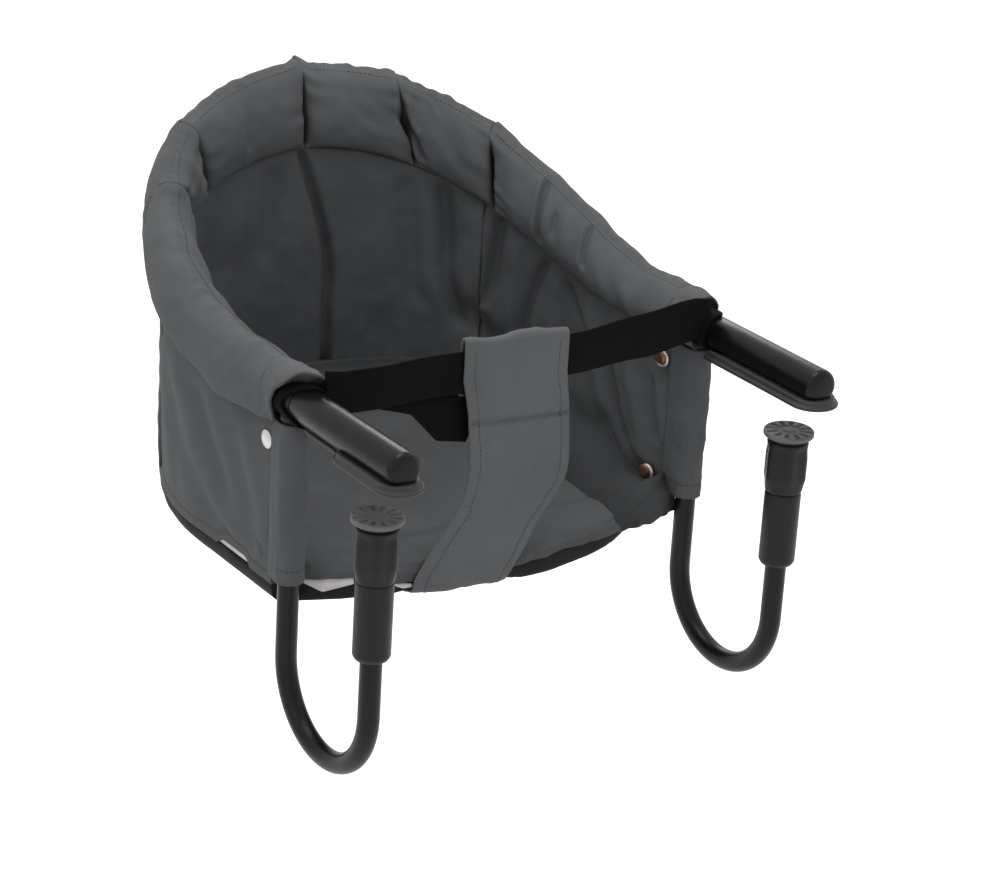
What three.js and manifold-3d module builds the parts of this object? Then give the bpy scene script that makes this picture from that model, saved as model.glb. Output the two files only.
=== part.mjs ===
// Hook-on table chair for a child: a padded fabric bucket on a bent steel frame, two arms that lie on the
// table top and two J-shaped hooks whose screw clamps press up against the underside of the table.
// Millimetres. Z up, Z = 0 is the table top, Y = 0 the plane of the hooks' rear legs, X = 0 the plane of
// symmetry. The arms point to -Y, the sitter faces -Y, so the sitter's left is +X.
import * as THREE from 'three';
import { mergeVertices } from 'three/addons/utils/BufferGeometryUtils.js';
import Module from 'manifold-3d';

const wasm = await Module();
wasm.setup();

// frame tube, arms and the line that the rim follows
const gap = 0.3;
const halfSpan = 189;
const bendCentreY = 147;
const tubeR = 9;
const tubeFit = 0.4;
const tubeBore = tubeR + tubeFit;
const armAxisZ = 16;
const tubeBackZ = 149;
const tubeFrontY = -140.6;
const riseRun = 388;
const tubeSides = 10;

// padded rim
const rimFrontY = 19.5;
const crestFrontZ = 43;
const crestBackZ = 167;
const innerSeamFrontZ = 2;
const innerSeamBackZ = 95;
const innerSeamRun = 350;
const outerSeamFrontZ = 0;
const outerSeamBackZ = 16;
const outerSeamStart = 280;
const outerSeamEnd = 395;
const outerBase = 5;
const outerSwellFront = 13.5;
const outerSwellBack = 18;
const crestOff = 3;
const innerBase = 13.5;
const innerSwell = 6.5;
const pinch = 2.6;
const seamRuns = { left: [91, 176], right: [128, 192] };
const quarterBulge = 9;
const quarterRun = 132;
const quarterReach = 66;
const outerHeightShares = [0.17, 0.42, 0.68, 0.89];
const outerSwellShares = [0.5, 1, 0.96, 0.55];
const innerHeightShares = [0.88, 0.6, 0.3, 0.08];
const innerSwellShares = [-0.4, 0.7, 1, 0.6];
const sectionShares = [0, 0.05, 0.22, 0.5, 0.78, 0.95, 1];
const frontSectionShares = [0, 0.03, 0.12, 0.24, 0.36, 0.49, 0.62, 0.8, 1];

// fabric walls
const wallTopOuter = 4.7;
const wallMidOuter = 4.1;
const wallFootOuter = 2.9;
const wallMidZ = -70;
const wallStep = 1.1;
const stepEase = 4;
const wallInner = 11;
const wallFootZ = -138.7;
const wallInnerMidZ = -60;

// seat: board, tray, liner with its cove
const trayBottomZ = -160;
const trayEdgeZ = -154;
const trayTopZ = -143;
const trayOff = 3;
const trayUnder = 5;
const boardBottomZ = trayTopZ + gap;
const boardTopZ = wallFootZ - gap;
const boardOff = 1.4;
const linerOff = 12.2;
const linerBottomZ = wallFootZ;
const floorZ = -130;
const coveRise = 46;
const coveWidth = 66;
const coveStartY = 62;
const coveFullY = 110;
const linerFrontY = 20;
const linerTipGap = 1.3;
const linerBackY = bendCentreY + halfSpan - linerOff - linerTipGap;
const linerRowShares = [0, 0.14, 0.22, 0.3, 0.42, 0.56, 0.69, 0.8, 0.886, 0.945, 0.982, 1];
const linerAcrossShares = [-1, -0.93, -0.82, -0.66, -0.35, 0, 0.35, 0.66, 0.82, 0.93, 1];

// corner hoods and leg sleeves
const hoodR = 20;
const hoodRise = 26;
const hoodBore = 14.5;
const hoodFootOut = 16;
const hoodFootIn = 12.6;
const hoodFootZ = -1.6;
const hoodFrontY = -14;
const hoodArcSteps = 8;
const sleeveTopZ = -2;
const sleeveHemZ = -138;
const sleeveR = 12.6;
const sleeveBore = 10.9;
const sleeveBackIn = 12;
const sleeveBackOut = 8;
const sleeveSides = 12;

// soft front bow of the seat
const bowBackY = rimFrontY - gap;
const bowR = 358;
const bowFrontY = -35;
const bowCentreY = bowFrontY + bowR;
const trayBowIn = 2.5;
const trayBowHalf = halfSpan - trayBowIn;
const linerBowHalf = halfSpan - sleeveR;
const bowTopZ = -127;
const bowRound = 5;
const bowEnd = 1;
const bowSteps = 14;

// waist belt and crotch strap
const beltZ = 23;
const beltHalf = 17;
const beltThick = 2;
const beltEndIn = 17.7;
const beltEndX = halfSpan - beltEndIn;
const beltMidY = -26;
const beltEndY = -19.5;
const beltSteps = 12;
const loopY = [-26.6, -14.5];
const loopInner = 14.4;
const loopOuter = 16.8;
const strapThick = 2.4;
const strapBehind = 3;
const strapAhead = 2.5;
const strapBackY = beltMidY + strapBehind;
const strapFrontY = beltMidY - strapAhead;
const strapKneeShares = [0.5, 0.72, 0.86];
const strapSlideShares = [0, 0, 0, 0, 0, 0, -0.05, 0.3, 0.6, 0.8, 1, 1, 1];
const strapNarrowShares = [0, 0, 0, 0, 0, 0, 0, 0.75, 1, 1, 1, 1, 1];
const strapTopZ = 43;
const strapLoopZ = 4;
const strapTopHalf = 47;
const strapFootHalf = 38;
const strapTopX = -8;
const strapFootX = -50;
const strapProud = 3.5;
const strapEdgeY = bowFrontY - strapProud;
const strapUnderY = -6;
const strapUnderDrop = 1.5;
const strapUnderZ = trayBottomZ - strapUnderDrop;

// arms
const coverR = 14;
const coverBackY = -14.4;
const coverNoseY = -158.5;
const coverFill = tubeFrontY - tubeFit;
const coverTaper = 1;
const coverRunShares = [0.62, 0.9, 0.985];
const coverReachShares = [0.8, 0.45];
const coverSides = 18;
const soleTipY = -146;
const soleTipR = 20;
const soleHalf = 19.5;
const soleBackY = -27;
const soleStepY = -78;
const soleNarrow = 9;
const soleNarrowRun = 12;
const soleTopZ = 7;
const soleLipZ = 2.8;
const soleChamfer = 0.8;
const soleStepIn = 2.2;
const soleTopIn = 3.2;
const soleTipSteps = 10;
const soleOutShare = 0.7;
const soleRunShare = 0.3;

// hook, its collar and its clamp
const hookTubeR = 8.5;
const hookTopZ = 1.4;
const hookBendR = 61;
const hookBendZ = -194;
const hookFrontY = -2 * hookBendR;
const hookEndZ = -86;
const hookBendSteps = 14;
const hookSides = 12;
const boreSides = 12;
const turnedSides = 20;
const ringSides = 16;
const collarR = 13.7;
const collarHalf = 13.7;
const cupR = 10.2;
const cupBore = 8.8;
const cupFootZ = -18;
const cupRoofZ = hookTopZ + gap;
const ringR = 12.6;
const ringY = [14.1, 19];
const clampR = 14.5;
const clampBore = 12.1;
const clampTopZ = -82.3;
const clampFootZ = -145;
const clampChamfer = 3;
const clampGripZ = -138;
const clampGripBore = 8.9;
const boreR = 6.4;
const boreFootZ = -156;
const nutR = 6;
const nutBore = 4.4;
const nutFootZ = -99;
const nutFlangeR = 8.3;
const nutFlangeZ = [-85.7, -83.4];
const screwR = 4;
const screwFootZ = -150;
const screwTopZ = -37.6;
const knobTopZ = -39;
const knobNeckZ = -45;
const knobWideZ = [-52, -70];
const knobFootZ = -82;
const knobR = 17.4;
const knobNeckR = 16.6;
const knobFootR = 14.7;
const knobDip = 1.7;
const knobDipShares = [0, 0.3, 1, 1, 0];
const knobWings = 6;
const knobSides = 36;
const skirtR = 11.7;
const skirtBore = 9;
const skirtFootZ = -134;
const skirtRoofZ = -82.9;
const plateR = 15.5;
const plateZ = [-38.7, -35.9];
const plateHoleR = 4.4;
const plateHoleZ = -37.2;
const padR = 20;
const padFootZ = -35.6;
const padTopZ = -31;
const padEdge = 1;
const padRibs = 12;
const padSides = 28;
const padGrooveInR = 9.5;
const padGrooveOutR = 18.3;
const padGrooveWidth = 2;
const padGrooveDepth = 1;

// press studs
const studR = 7.5;
const studRimR = 5.5;
const studThick = 3;
const studSeat = 0.45;
const capShares = [0.4, 0.85];
const socketShares = [0.5, 0.8, 0.3];
const socketDishShare = 0.8;
const studSides = 12;
const studInnerX = halfSpan - wallInner - gap;
const studYZ = { upper: [30, -27], lower: [38, -121] };

const group = new THREE.Group();
group.name = 'hook_on_table_chair';

const looks = {
  fabric: [0x4b4e50, 0.92, 0],
  liner: [0x4a4d4f, 0.94, 0],
  webbing: [0x1b1b1c, 0.85, 0],
  plastic: [0x262728, 0.5, 0],
  rubber: [0x2e2e2f, 0.8, 0],
  padRubber: [0x57565a, 0.8, 0],
  steel: [0x2b2c2e, 0.38, 0.4],
  tray: [0x222224, 0.8, 0],
  board: [0xb9b3b6, 0.8, 0],
  screw: [0xa9abad, 0.35, 0.9],
  capMetal: [0xd7d7d5, 0.35, 0.6],
  socketMetal: [0x7a5a43, 0.4, 0.7],
};

function add(name, geometry, look) {
  const [color, roughness, metalness] = looks[look];
  const mesh = new THREE.Mesh(geometry, new THREE.MeshStandardMaterial({ color, roughness, metalness }));
  mesh.name = name;
  group.add(mesh);
}

function signedVolume(positions, index) {
  let sum = 0;
  const at = (k) => positions[index[k]];
  for (let k = 0; k < index.length; k += 3) sum += at(k).dot(at(k + 1).clone().cross(at(k + 2)));
  return sum / 6;
}

function bodyOf(positions, index) {
  const faces = signedVolume(positions, index) < 0 ? [...index].reverse() : index;
  const geometry = new THREE.BufferGeometry();
  const flat = positions.flatMap((p) => p.toArray());
  geometry.setAttribute('position', new THREE.Float32BufferAttribute(flat, 3));
  geometry.setIndex(faces);
  geometry.computeVertexNormals();
  return geometry;
}

// the flat lid of a ring, with its hole if the piece has a bore
function lid(ring, hole) {
  const normal = new THREE.Vector3();
  ring.forEach((p, k) => normal.add(p.clone().cross(ring[(k + 1) % ring.length])));
  normal.normalize();
  const level = Math.abs(normal.z) > Math.SQRT1_2;
  const spare = level ? new THREE.Vector3(1, 0, 0) : new THREE.Vector3(0, 0, 1);
  const u = spare.clone().cross(normal).normalize();
  const v = normal.clone().cross(u);
  const flat = (pts) => pts.map((p) => new THREE.Vector2(p.dot(u), p.dot(v)));
  return THREE.ShapeUtils.triangulateShape(flat(ring), hole ? [flat(hole)] : []).map((f) => {
    const all = hole ? [...ring, ...hole] : ring;
    const [a, b, c] = f.map((k) => all[k]);
    const turn = b.clone().sub(a).cross(c.clone().sub(a)).dot(normal);
    return turn < 0 ? [f[0], f[2], f[1]] : f;
  });
}

// a closed body through rings of equal count, with a bore through it if bores are given
function loft(rings, bores) {
  const n = rings[0].length;
  const m = bores ? bores[0].length : 0;
  const positions = [];
  const index = [];
  rings.forEach((ring, k) => positions.push(...ring, ...(bores ? bores[k] : [])));
  const per = n + m;
  for (let k = 0; k + 1 < rings.length; k += 1) {
    for (let j = 0; j < n; j += 1) {
      const a = k * per + j;
      const b = k * per + ((j + 1) % n);
      index.push(a, b, b + per, a, b + per, a + per);
    }
    for (let j = 0; j < m; j += 1) {
      const a = k * per + n + j;
      const b = k * per + n + ((j + 1) % m);
      index.push(b, a, a + per, b, a + per, b + per);
    }
  }
  const last = (rings.length - 1) * per;
  lid(rings[0], bores && bores[0]).forEach(([a, b, c]) => index.push(a, c, b));
  lid(rings.at(-1), bores && bores.at(-1)).forEach(([a, b, c]) => index.push(a + last, b + last, c + last));
  return bodyOf(positions, index);
}

function toSolid(geometry) {
  const bare = geometry.clone();
  bare.deleteAttribute('normal');
  if (bare.getAttribute('uv')) bare.deleteAttribute('uv');
  const welded = mergeVertices(bare);
  return new wasm.Manifold(new wasm.Mesh({
    numProp: 3,
    vertProperties: new Float32Array(welded.getAttribute('position').array),
    triVerts: new Uint32Array(welded.getIndex().array),
  }));
}

function toGeometry(solid) {
  const mesh = solid.getMesh();
  const geometry = new THREE.BufferGeometry();
  geometry.setAttribute('position', new THREE.BufferAttribute(new Float32Array(mesh.vertProperties), 3));
  geometry.setIndex(new THREE.BufferAttribute(new Uint32Array(mesh.triVerts), 1));
  geometry.computeVertexNormals();
  return geometry;
}

// a turned piece about a vertical axis through (x, y), or one that lies along Y
function turned(profile, sides, place) {
  const geometry = new THREE.LatheGeometry(profile.map(([r, h]) => new THREE.Vector2(r, h)), sides);
  geometry.deleteAttribute('uv');
  geometry.deleteAttribute('normal');
  let body = mergeVertices(geometry);
  place(body);
  const at = body.getAttribute('position');
  const point = (_, k) => new THREE.Vector3().fromBufferAttribute(at, k);
  const positions = Array.from({ length: at.count }, point);
  const index = [];
  const old = body.getIndex().array;
  for (let k = 0; k < old.length; k += 3) {
    const [a, b, c] = [old[k], old[k + 1], old[k + 2]];
    if (a !== b && b !== c && a !== c) index.push(a, b, c);
  }
  return bodyOf(positions, index);
}
const upright = (x, y) => (g) => g.rotateX(Math.PI / 2).translate(x, y, 0);
const alongY = (x, z) => (g) => g.translate(x, 0, z);
const closed = (profile) => [...profile, profile[0]];
const column = (r, from, to) => [[0, from], [r, from], [r, to], [0, to]];

// height of the rim's lines, from the run along the tube's plan line off its middle at the back
const halfWave = (run, full) => (1 + Math.cos(Math.PI * Math.min(run / full, 1))) / 2;
const between = (front, back, share) => front + (back - front) * share;
const ease = (t) => t * t * (3 - 2 * t);
const tubeZ = (run) => between(armAxisZ, tubeBackZ, halfWave(run, riseRun));
const crestZ = (run) => between(crestFrontZ, crestBackZ, halfWave(run, riseRun));
const innerSeamZ = (run) => between(innerSeamFrontZ, innerSeamBackZ, halfWave(run, innerSeamRun));
const clamp = (t) => Math.min(Math.max(t, 0), 1);
const outerShare = (run) => 1 - clamp((run - outerSeamStart) / (outerSeamEnd - outerSeamStart));
const outerSeamZ = (run) => between(outerSeamFrontZ, outerSeamBackZ, ease(outerShare(run)));
const tubeLean = (run) => {
  const steepest = (Math.PI / 2) * (tubeBackZ - armAxisZ) / riseRun;
  return Math.hypot(1, steepest * Math.sin(Math.PI * Math.min(run / riseRun, 1)));
};
const bendRun = halfSpan * Math.PI / 2;
const frontRun = bendRun + bendCentreY - rimFrontY;

// the plan line bulges a little at the back's two quarters
const bulge = (run) => quarterBulge * Math.exp(-(((run - quarterRun) / quarterReach) ** 2));

// a point beside the plan line: run from the middle of the back, off outwards, z up
function beside(side, run, off, z) {
  const r = halfSpan + bulge(run) + off;
  if (run > bendRun) return new THREE.Vector3(side * r, bendCentreY - (run - bendRun), z);
  const turn = run / halfSpan;
  return new THREE.Vector3(side * r * Math.sin(turn), bendCentreY + r * Math.cos(turn), z);
}

function tubeRing(side, run, r, sides) {
  const lean = tubeLean(run);
  return Array.from({ length: sides }, (_, k) => {
    const a = (2 * Math.PI * k) / sides;
    return beside(side, run, r * Math.cos(a), tubeZ(run) + r * Math.sin(a) * lean);
  });
}

const runsOf = (from, to, shares) => shares.map((share) => between(from, to, share));
const spansOf = ([first, second]) => [
  { name: 'back', runs: runsOf(0, first, sectionShares) },
  { name: 'quarter', runs: runsOf(first, second, sectionShares) },
  { name: 'side', runs: runsOf(second, frontRun, frontSectionShares) },
];
const spans = { left: spansOf(seamRuns.left), right: spansOf(seamRuns.right) };
const allRuns = (hand) => [...new Set(spans[hand].flatMap((span) => span.runs))];

// frame tube: from the front end of one arm, round the back, to the front end of the other
const armRun = bendRun + bendCentreY - tubeFrontY;
const tubeRings = [
  ...[...allRuns('left'), armRun].reverse().map((run) => tubeRing(1, run, tubeR, tubeSides)),
  ...[...allRuns('right').slice(1), armRun].map((run) => tubeRing(-1, run, tubeR, tubeSides)),
];
add('top_frame_tube', loft(tubeRings), 'steel');

// one padded section of the rim between two seams, with the bore that the tube runs through
function rimRing(side, run, pinched) {
  const zc = crestZ(run);
  const zo = outerSeamZ(run);
  const zi = innerSeamZ(run);
  const swell = between(outerSwellFront, outerSwellBack, halfWave(run, riseRun)) - (pinched ? pinch : 0);
  const inSwell = innerSwell - (pinched ? pinch : 0);
  const pts = [[outerBase, zo]];
  outerHeightShares.forEach((h, k) => {
    pts.push([outerBase + swell * outerSwellShares[k], between(zo, zc, h)]);
  });
  pts.push([crestOff, zc]);
  innerHeightShares.forEach((h, k) => {
    pts.push([-innerBase - inSwell * innerSwellShares[k], between(zi, zc, h)]);
  });
  pts.push([-innerBase, zi], [-wallStep, zi], [-wallStep, zo]);
  return pts.map(([off, z]) => beside(side, run, off, z));
}

for (const [side, hand] of [[1, 'left'], [-1, 'right']]) {
  for (const { name, runs } of spans[hand]) {
    const held = runs.map((run, k) => {
      if (k === 0) return run + gap / 2;
      return k === runs.length - 1 ? run - gap / 2 : run;
    });
    const pinched = (k) => k === 0 || (k === runs.length - 1 && name !== 'side');
    const rings = held.map((run, k) => rimRing(side, run, pinched(k)));
    const bores = held.map((run) => tubeRing(side, run, tubeBore, tubeSides));
    add(`rim_${name}_${hand}`, loft(rings, bores), 'fabric');
  }
}

// fabric wall: its top steps round the foot of the rim, its foot stands on the seat board
function wallRing(side, run) {
  const zo = outerSeamZ(run) - gap;
  const zi = innerSeamZ(run) - gap;
  const lean = Math.min(Math.max((zi - zo) / stepEase, -1), 1);
  const step = -wallStep - gap * lean;
  const pts = [[wallFootOuter, wallFootZ], [wallMidOuter, wallMidZ], [wallTopOuter, zo], [step, zo]];
  pts.push([step, zi], [-wallInner, zi], [-wallInner, wallInnerMidZ], [-wallInner, wallFootZ]);
  return pts.map(([off, z]) => beside(side, run, off, z));
}
const wallOuter = (z) => (z < wallMidZ
  ? between(wallFootOuter, wallMidOuter, (z - wallFootZ) / (wallMidZ - wallFootZ))
  : between(wallMidOuter, wallTopOuter, (z - wallMidZ) / (outerSeamFrontZ - wallMidZ)));
const backRuns = (hand) => [...spans[hand][0].runs, ...spans[hand][1].runs.slice(1)];
const backHeld = (hand) => {
  const runs = backRuns(hand);
  return [...runs.slice(0, -1), runs[runs.length - 1] - gap / 2];
};
add('back_panel', loft([
  ...backHeld('left').reverse().map((run) => wallRing(1, run)),
  ...backHeld('right').slice(1).map((run) => wallRing(-1, run)),
]), 'fabric');

// seat board and tray: level slabs inside one outline, cut straight in front of the side panels' front edge
function seatOutline(off, z, frontY) {
  const front = bendRun + bendCentreY - frontY;
  const runs = (hand) => [
    ...backRuns(hand), ...runsOf(seamRuns[hand][1], front, frontSectionShares.slice(1)),
  ];
  return [
    ...runs('left').reverse().map((run) => beside(1, run, off, z)),
    ...runs('right').slice(1).map((run) => beside(-1, run, off, z)),
  ];
}
add('seat_board', loft([
  seatOutline(boardOff, boardBottomZ, rimFrontY),
  seatOutline(boardOff, boardTopZ, rimFrontY),
]), 'board');
add('seat_base_tray', loft([
  seatOutline(-trayUnder, trayBottomZ, rimFrontY),
  seatOutline(trayOff, trayEdgeZ, rimFrontY),
  seatOutline(trayOff, trayTopZ, rimFrontY),
]), 'tray');

// seat liner: a floor that rises in a cove to the walls
function linerHeight(x, y) {
  const r = halfSpan - linerOff;
  const edge = y < bendCentreY ? r - Math.abs(x) : r - Math.hypot(x, y - bendCentreY);
  const share = 1 - clamp(edge / coveWidth);
  const along = ease(clamp((y - coveStartY) / (coveFullY - coveStartY)));
  return floorZ + coveRise * share * share * along;
}

// the liner follows the bulge of the plan line, less and less towards the middle
function bulged(x, y, z) {
  const reach = Math.hypot(x, y - bendCentreY);
  if (y < bendCentreY || reach === 0) return new THREE.Vector3(x, y, z);
  const out = bulge(halfSpan * Math.atan2(Math.abs(x), y - bendCentreY));
  const grow = 1 + out * reach / (halfSpan - linerOff) ** 2;
  return new THREE.Vector3(x * grow, bendCentreY + (y - bendCentreY) * grow, z);
}
{
  const r = halfSpan - linerOff;
  const half = (y) => (y < bendCentreY ? r : Math.sqrt(r * r - (y - bendCentreY) ** 2));
  const rings = linerRowShares.map((share) => {
    const y = between(linerFrontY, linerBackY, share);
    const xs = linerAcrossShares.map((across) => across * half(y));
    const top = xs.map((x) => bulged(x, y, linerHeight(x, y)));
    const foot = xs.map((x) => bulged(x, y, linerBottomZ)).reverse();
    return [...top, ...foot];
  });
  add('seat_liner', loft(rings), 'liner');
}

// soft front bow of the seat, in front of the board and between the leg sleeves
function bowRing(half, inset, z) {
  const front = Array.from({ length: bowSteps + 1 }, (_, k) => {
    const x = between(-half, half, k / bowSteps);
    const y = bowCentreY - Math.sqrt(bowR * bowR - x * x) + inset;
    return new THREE.Vector3(x, Math.min(y, bowBackY - bowEnd), z);
  });
  return [...front, new THREE.Vector3(half, bowBackY, z), new THREE.Vector3(-half, bowBackY, z)];
}
add('seat_front_tray', loft([
  bowRing(trayBowHalf, bowRound, trayBottomZ),
  bowRing(trayBowHalf, 0, trayEdgeZ),
  bowRing(trayBowHalf, 0, boardTopZ),
]), 'tray');
add('seat_front_bow', loft([
  bowRing(linerBowHalf, 0, linerBottomZ),
  bowRing(linerBowHalf, 0, bowTopZ - bowRound),
  bowRing(linerBowHalf, bowRound, bowTopZ),
]), 'liner');

// waist belt between the two loops
{
  const rings = Array.from({ length: beltSteps + 1 }, (_, k) => {
    const x = between(-beltEndX, beltEndX, k / beltSteps);
    const y = between(beltMidY, beltEndY, (x / beltEndX) ** 2);
    const t = beltThick / 2;
    return [[-t, -beltHalf], [t, -beltHalf], [t, beltHalf], [-t, beltHalf]].map(
      ([dy, dz]) => new THREE.Vector3(x, y + dy, beltZ + dz),
    );
  });
  add('waist_belt', loft(rings), 'webbing');
}

// crotch strap: looped over the belt, down in front of the seat's edge and under the tray
{
  const path = [
    [strapBackY, strapLoopZ], [strapBackY, strapTopZ - strapThick], [beltMidY + strapThick / 2, strapTopZ],
    [beltMidY - strapThick / 2, strapTopZ], [strapFrontY, strapTopZ - strapThick], [strapFrontY, strapLoopZ],
    ...strapKneeShares.map((s) => [between(strapFrontY, strapEdgeY, s), between(strapLoopZ, bowTopZ, s)]),
    [strapEdgeY, bowTopZ],
    [strapEdgeY, trayEdgeZ], [strapEdgeY + bowRound, strapUnderZ], [strapUnderY, strapUnderZ],
  ];
  const rings = path.map(([y, z], k) => {
    const before = path[Math.max(k - 1, 0)];
    const after = path[Math.min(k + 1, path.length - 1)];
    const along = new THREE.Vector2(after[0] - before[0], after[1] - before[1]).normalize();
    const [ny, nz] = [-along.y * strapThick / 2, along.x * strapThick / 2];
    const mid = between(strapTopX, strapFootX, strapSlideShares[k]);
    const half = between(strapTopHalf, strapFootHalf, strapNarrowShares[k]);
    return [[-half, 1], [half, 1], [half, -1], [-half, -1]].map(
      ([dx, s]) => new THREE.Vector3(mid + dx, y + s * ny, z + s * nz),
    );
  });
  add('crotch_strap', loft(rings), 'fabric');
}

// grip knob: six shallow dips between its wings, a bore for the screw and a skirt inside the clamp sleeve
function knobGeometry(x, y) {
  const outer = [
    [knobNeckR, knobTopZ], [knobNeckR, knobNeckZ], [knobR, knobWideZ[0]], [knobR, knobWideZ[1]],
    [knobFootR, knobFootZ],
  ];
  const rings = outer.map(([r, z], row) => Array.from({ length: knobSides }, (_, k) => {
    const a = (2 * Math.PI * k) / knobSides;
    const reach = r - knobDipShares[row] * knobDip * (1 - Math.cos(knobWings * a)) / 2;
    return new THREE.Vector3(x + reach * Math.cos(a), y + reach * Math.sin(a), z);
  }));
  const grip = toSolid(loft(rings));
  const skirt = toSolid(turned(column(skirtR, skirtFootZ, knobFootZ + gap), turnedSides, upright(x, y)));
  const hollow = toSolid(turned(column(skirtBore, skirtFootZ - gap, skirtRoofZ), turnedSides, upright(x, y)));
  const hole = toSolid(turned(column(nutBore, skirtRoofZ - gap, knobTopZ + gap), boreSides, upright(x, y)));
  return toGeometry(grip.add(skirt).subtract(hollow).subtract(hole));
}

// ribbed pad: a rubber disc with radial grooves in its flat top
function padGeometry(x, y) {
  const disc = toSolid(turned([
    [0, padFootZ], [padR - padEdge, padFootZ], [padR, padFootZ + padEdge], [padR, padTopZ - padEdge],
    [padR - padEdge, padTopZ], [0, padTopZ],
  ], padSides, upright(x, y)));
  let body = disc;
  for (let k = 0; k < padRibs; k += 1) {
    const groove = new THREE.BoxGeometry(padGrooveOutR - padGrooveInR, padGrooveWidth, padGrooveDepth * 2);
    groove.translate((padGrooveOutR + padGrooveInR) / 2, 0, 0).rotateZ((2 * Math.PI * (k + 0.5)) / padRibs);
    groove.translate(x, y, padTopZ);
    body = body.subtract(toSolid(groove));
  }
  return toGeometry(body);
}

// outline of the arm's sole: a round tip, a full ledge on the inner side, a short one on the outer side
function soleRing(side, inset, z) {
  const tip = Array.from({ length: soleTipSteps + 1 }, (_, k) => {
    const a = (Math.PI * k) / soleTipSteps;
    return [(soleTipR - inset) * Math.cos(a), soleTipY - (soleTipR - inset) * Math.sin(a)];
  });
  const inner = [[-soleHalf + inset, soleBackY - inset]];
  const outer = [
    [soleNarrow - inset, soleBackY - inset], [soleNarrow - inset, soleStepY - inset],
    [between(soleNarrow, soleHalf, soleOutShare) - inset, soleStepY - soleNarrowRun * soleRunShare - inset],
    [soleHalf - inset, soleStepY - soleNarrowRun - inset],
  ];
  return [...tip, ...inner, ...outer].map(([dx, y]) => new THREE.Vector3(side * (halfSpan + dx), y, z));
}
function coverProfile(grow) {
  const noseRs = [coverR - coverTaper, ...coverReachShares.map((share) => coverR * share)];
  const nose = coverRunShares.map((share, k) => [noseRs[k] + grow, between(tubeFrontY, coverNoseY, share)]);
  return [[coverR + grow, soleBackY + grow], [coverR + grow, tubeFrontY], ...nose];
}

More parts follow.
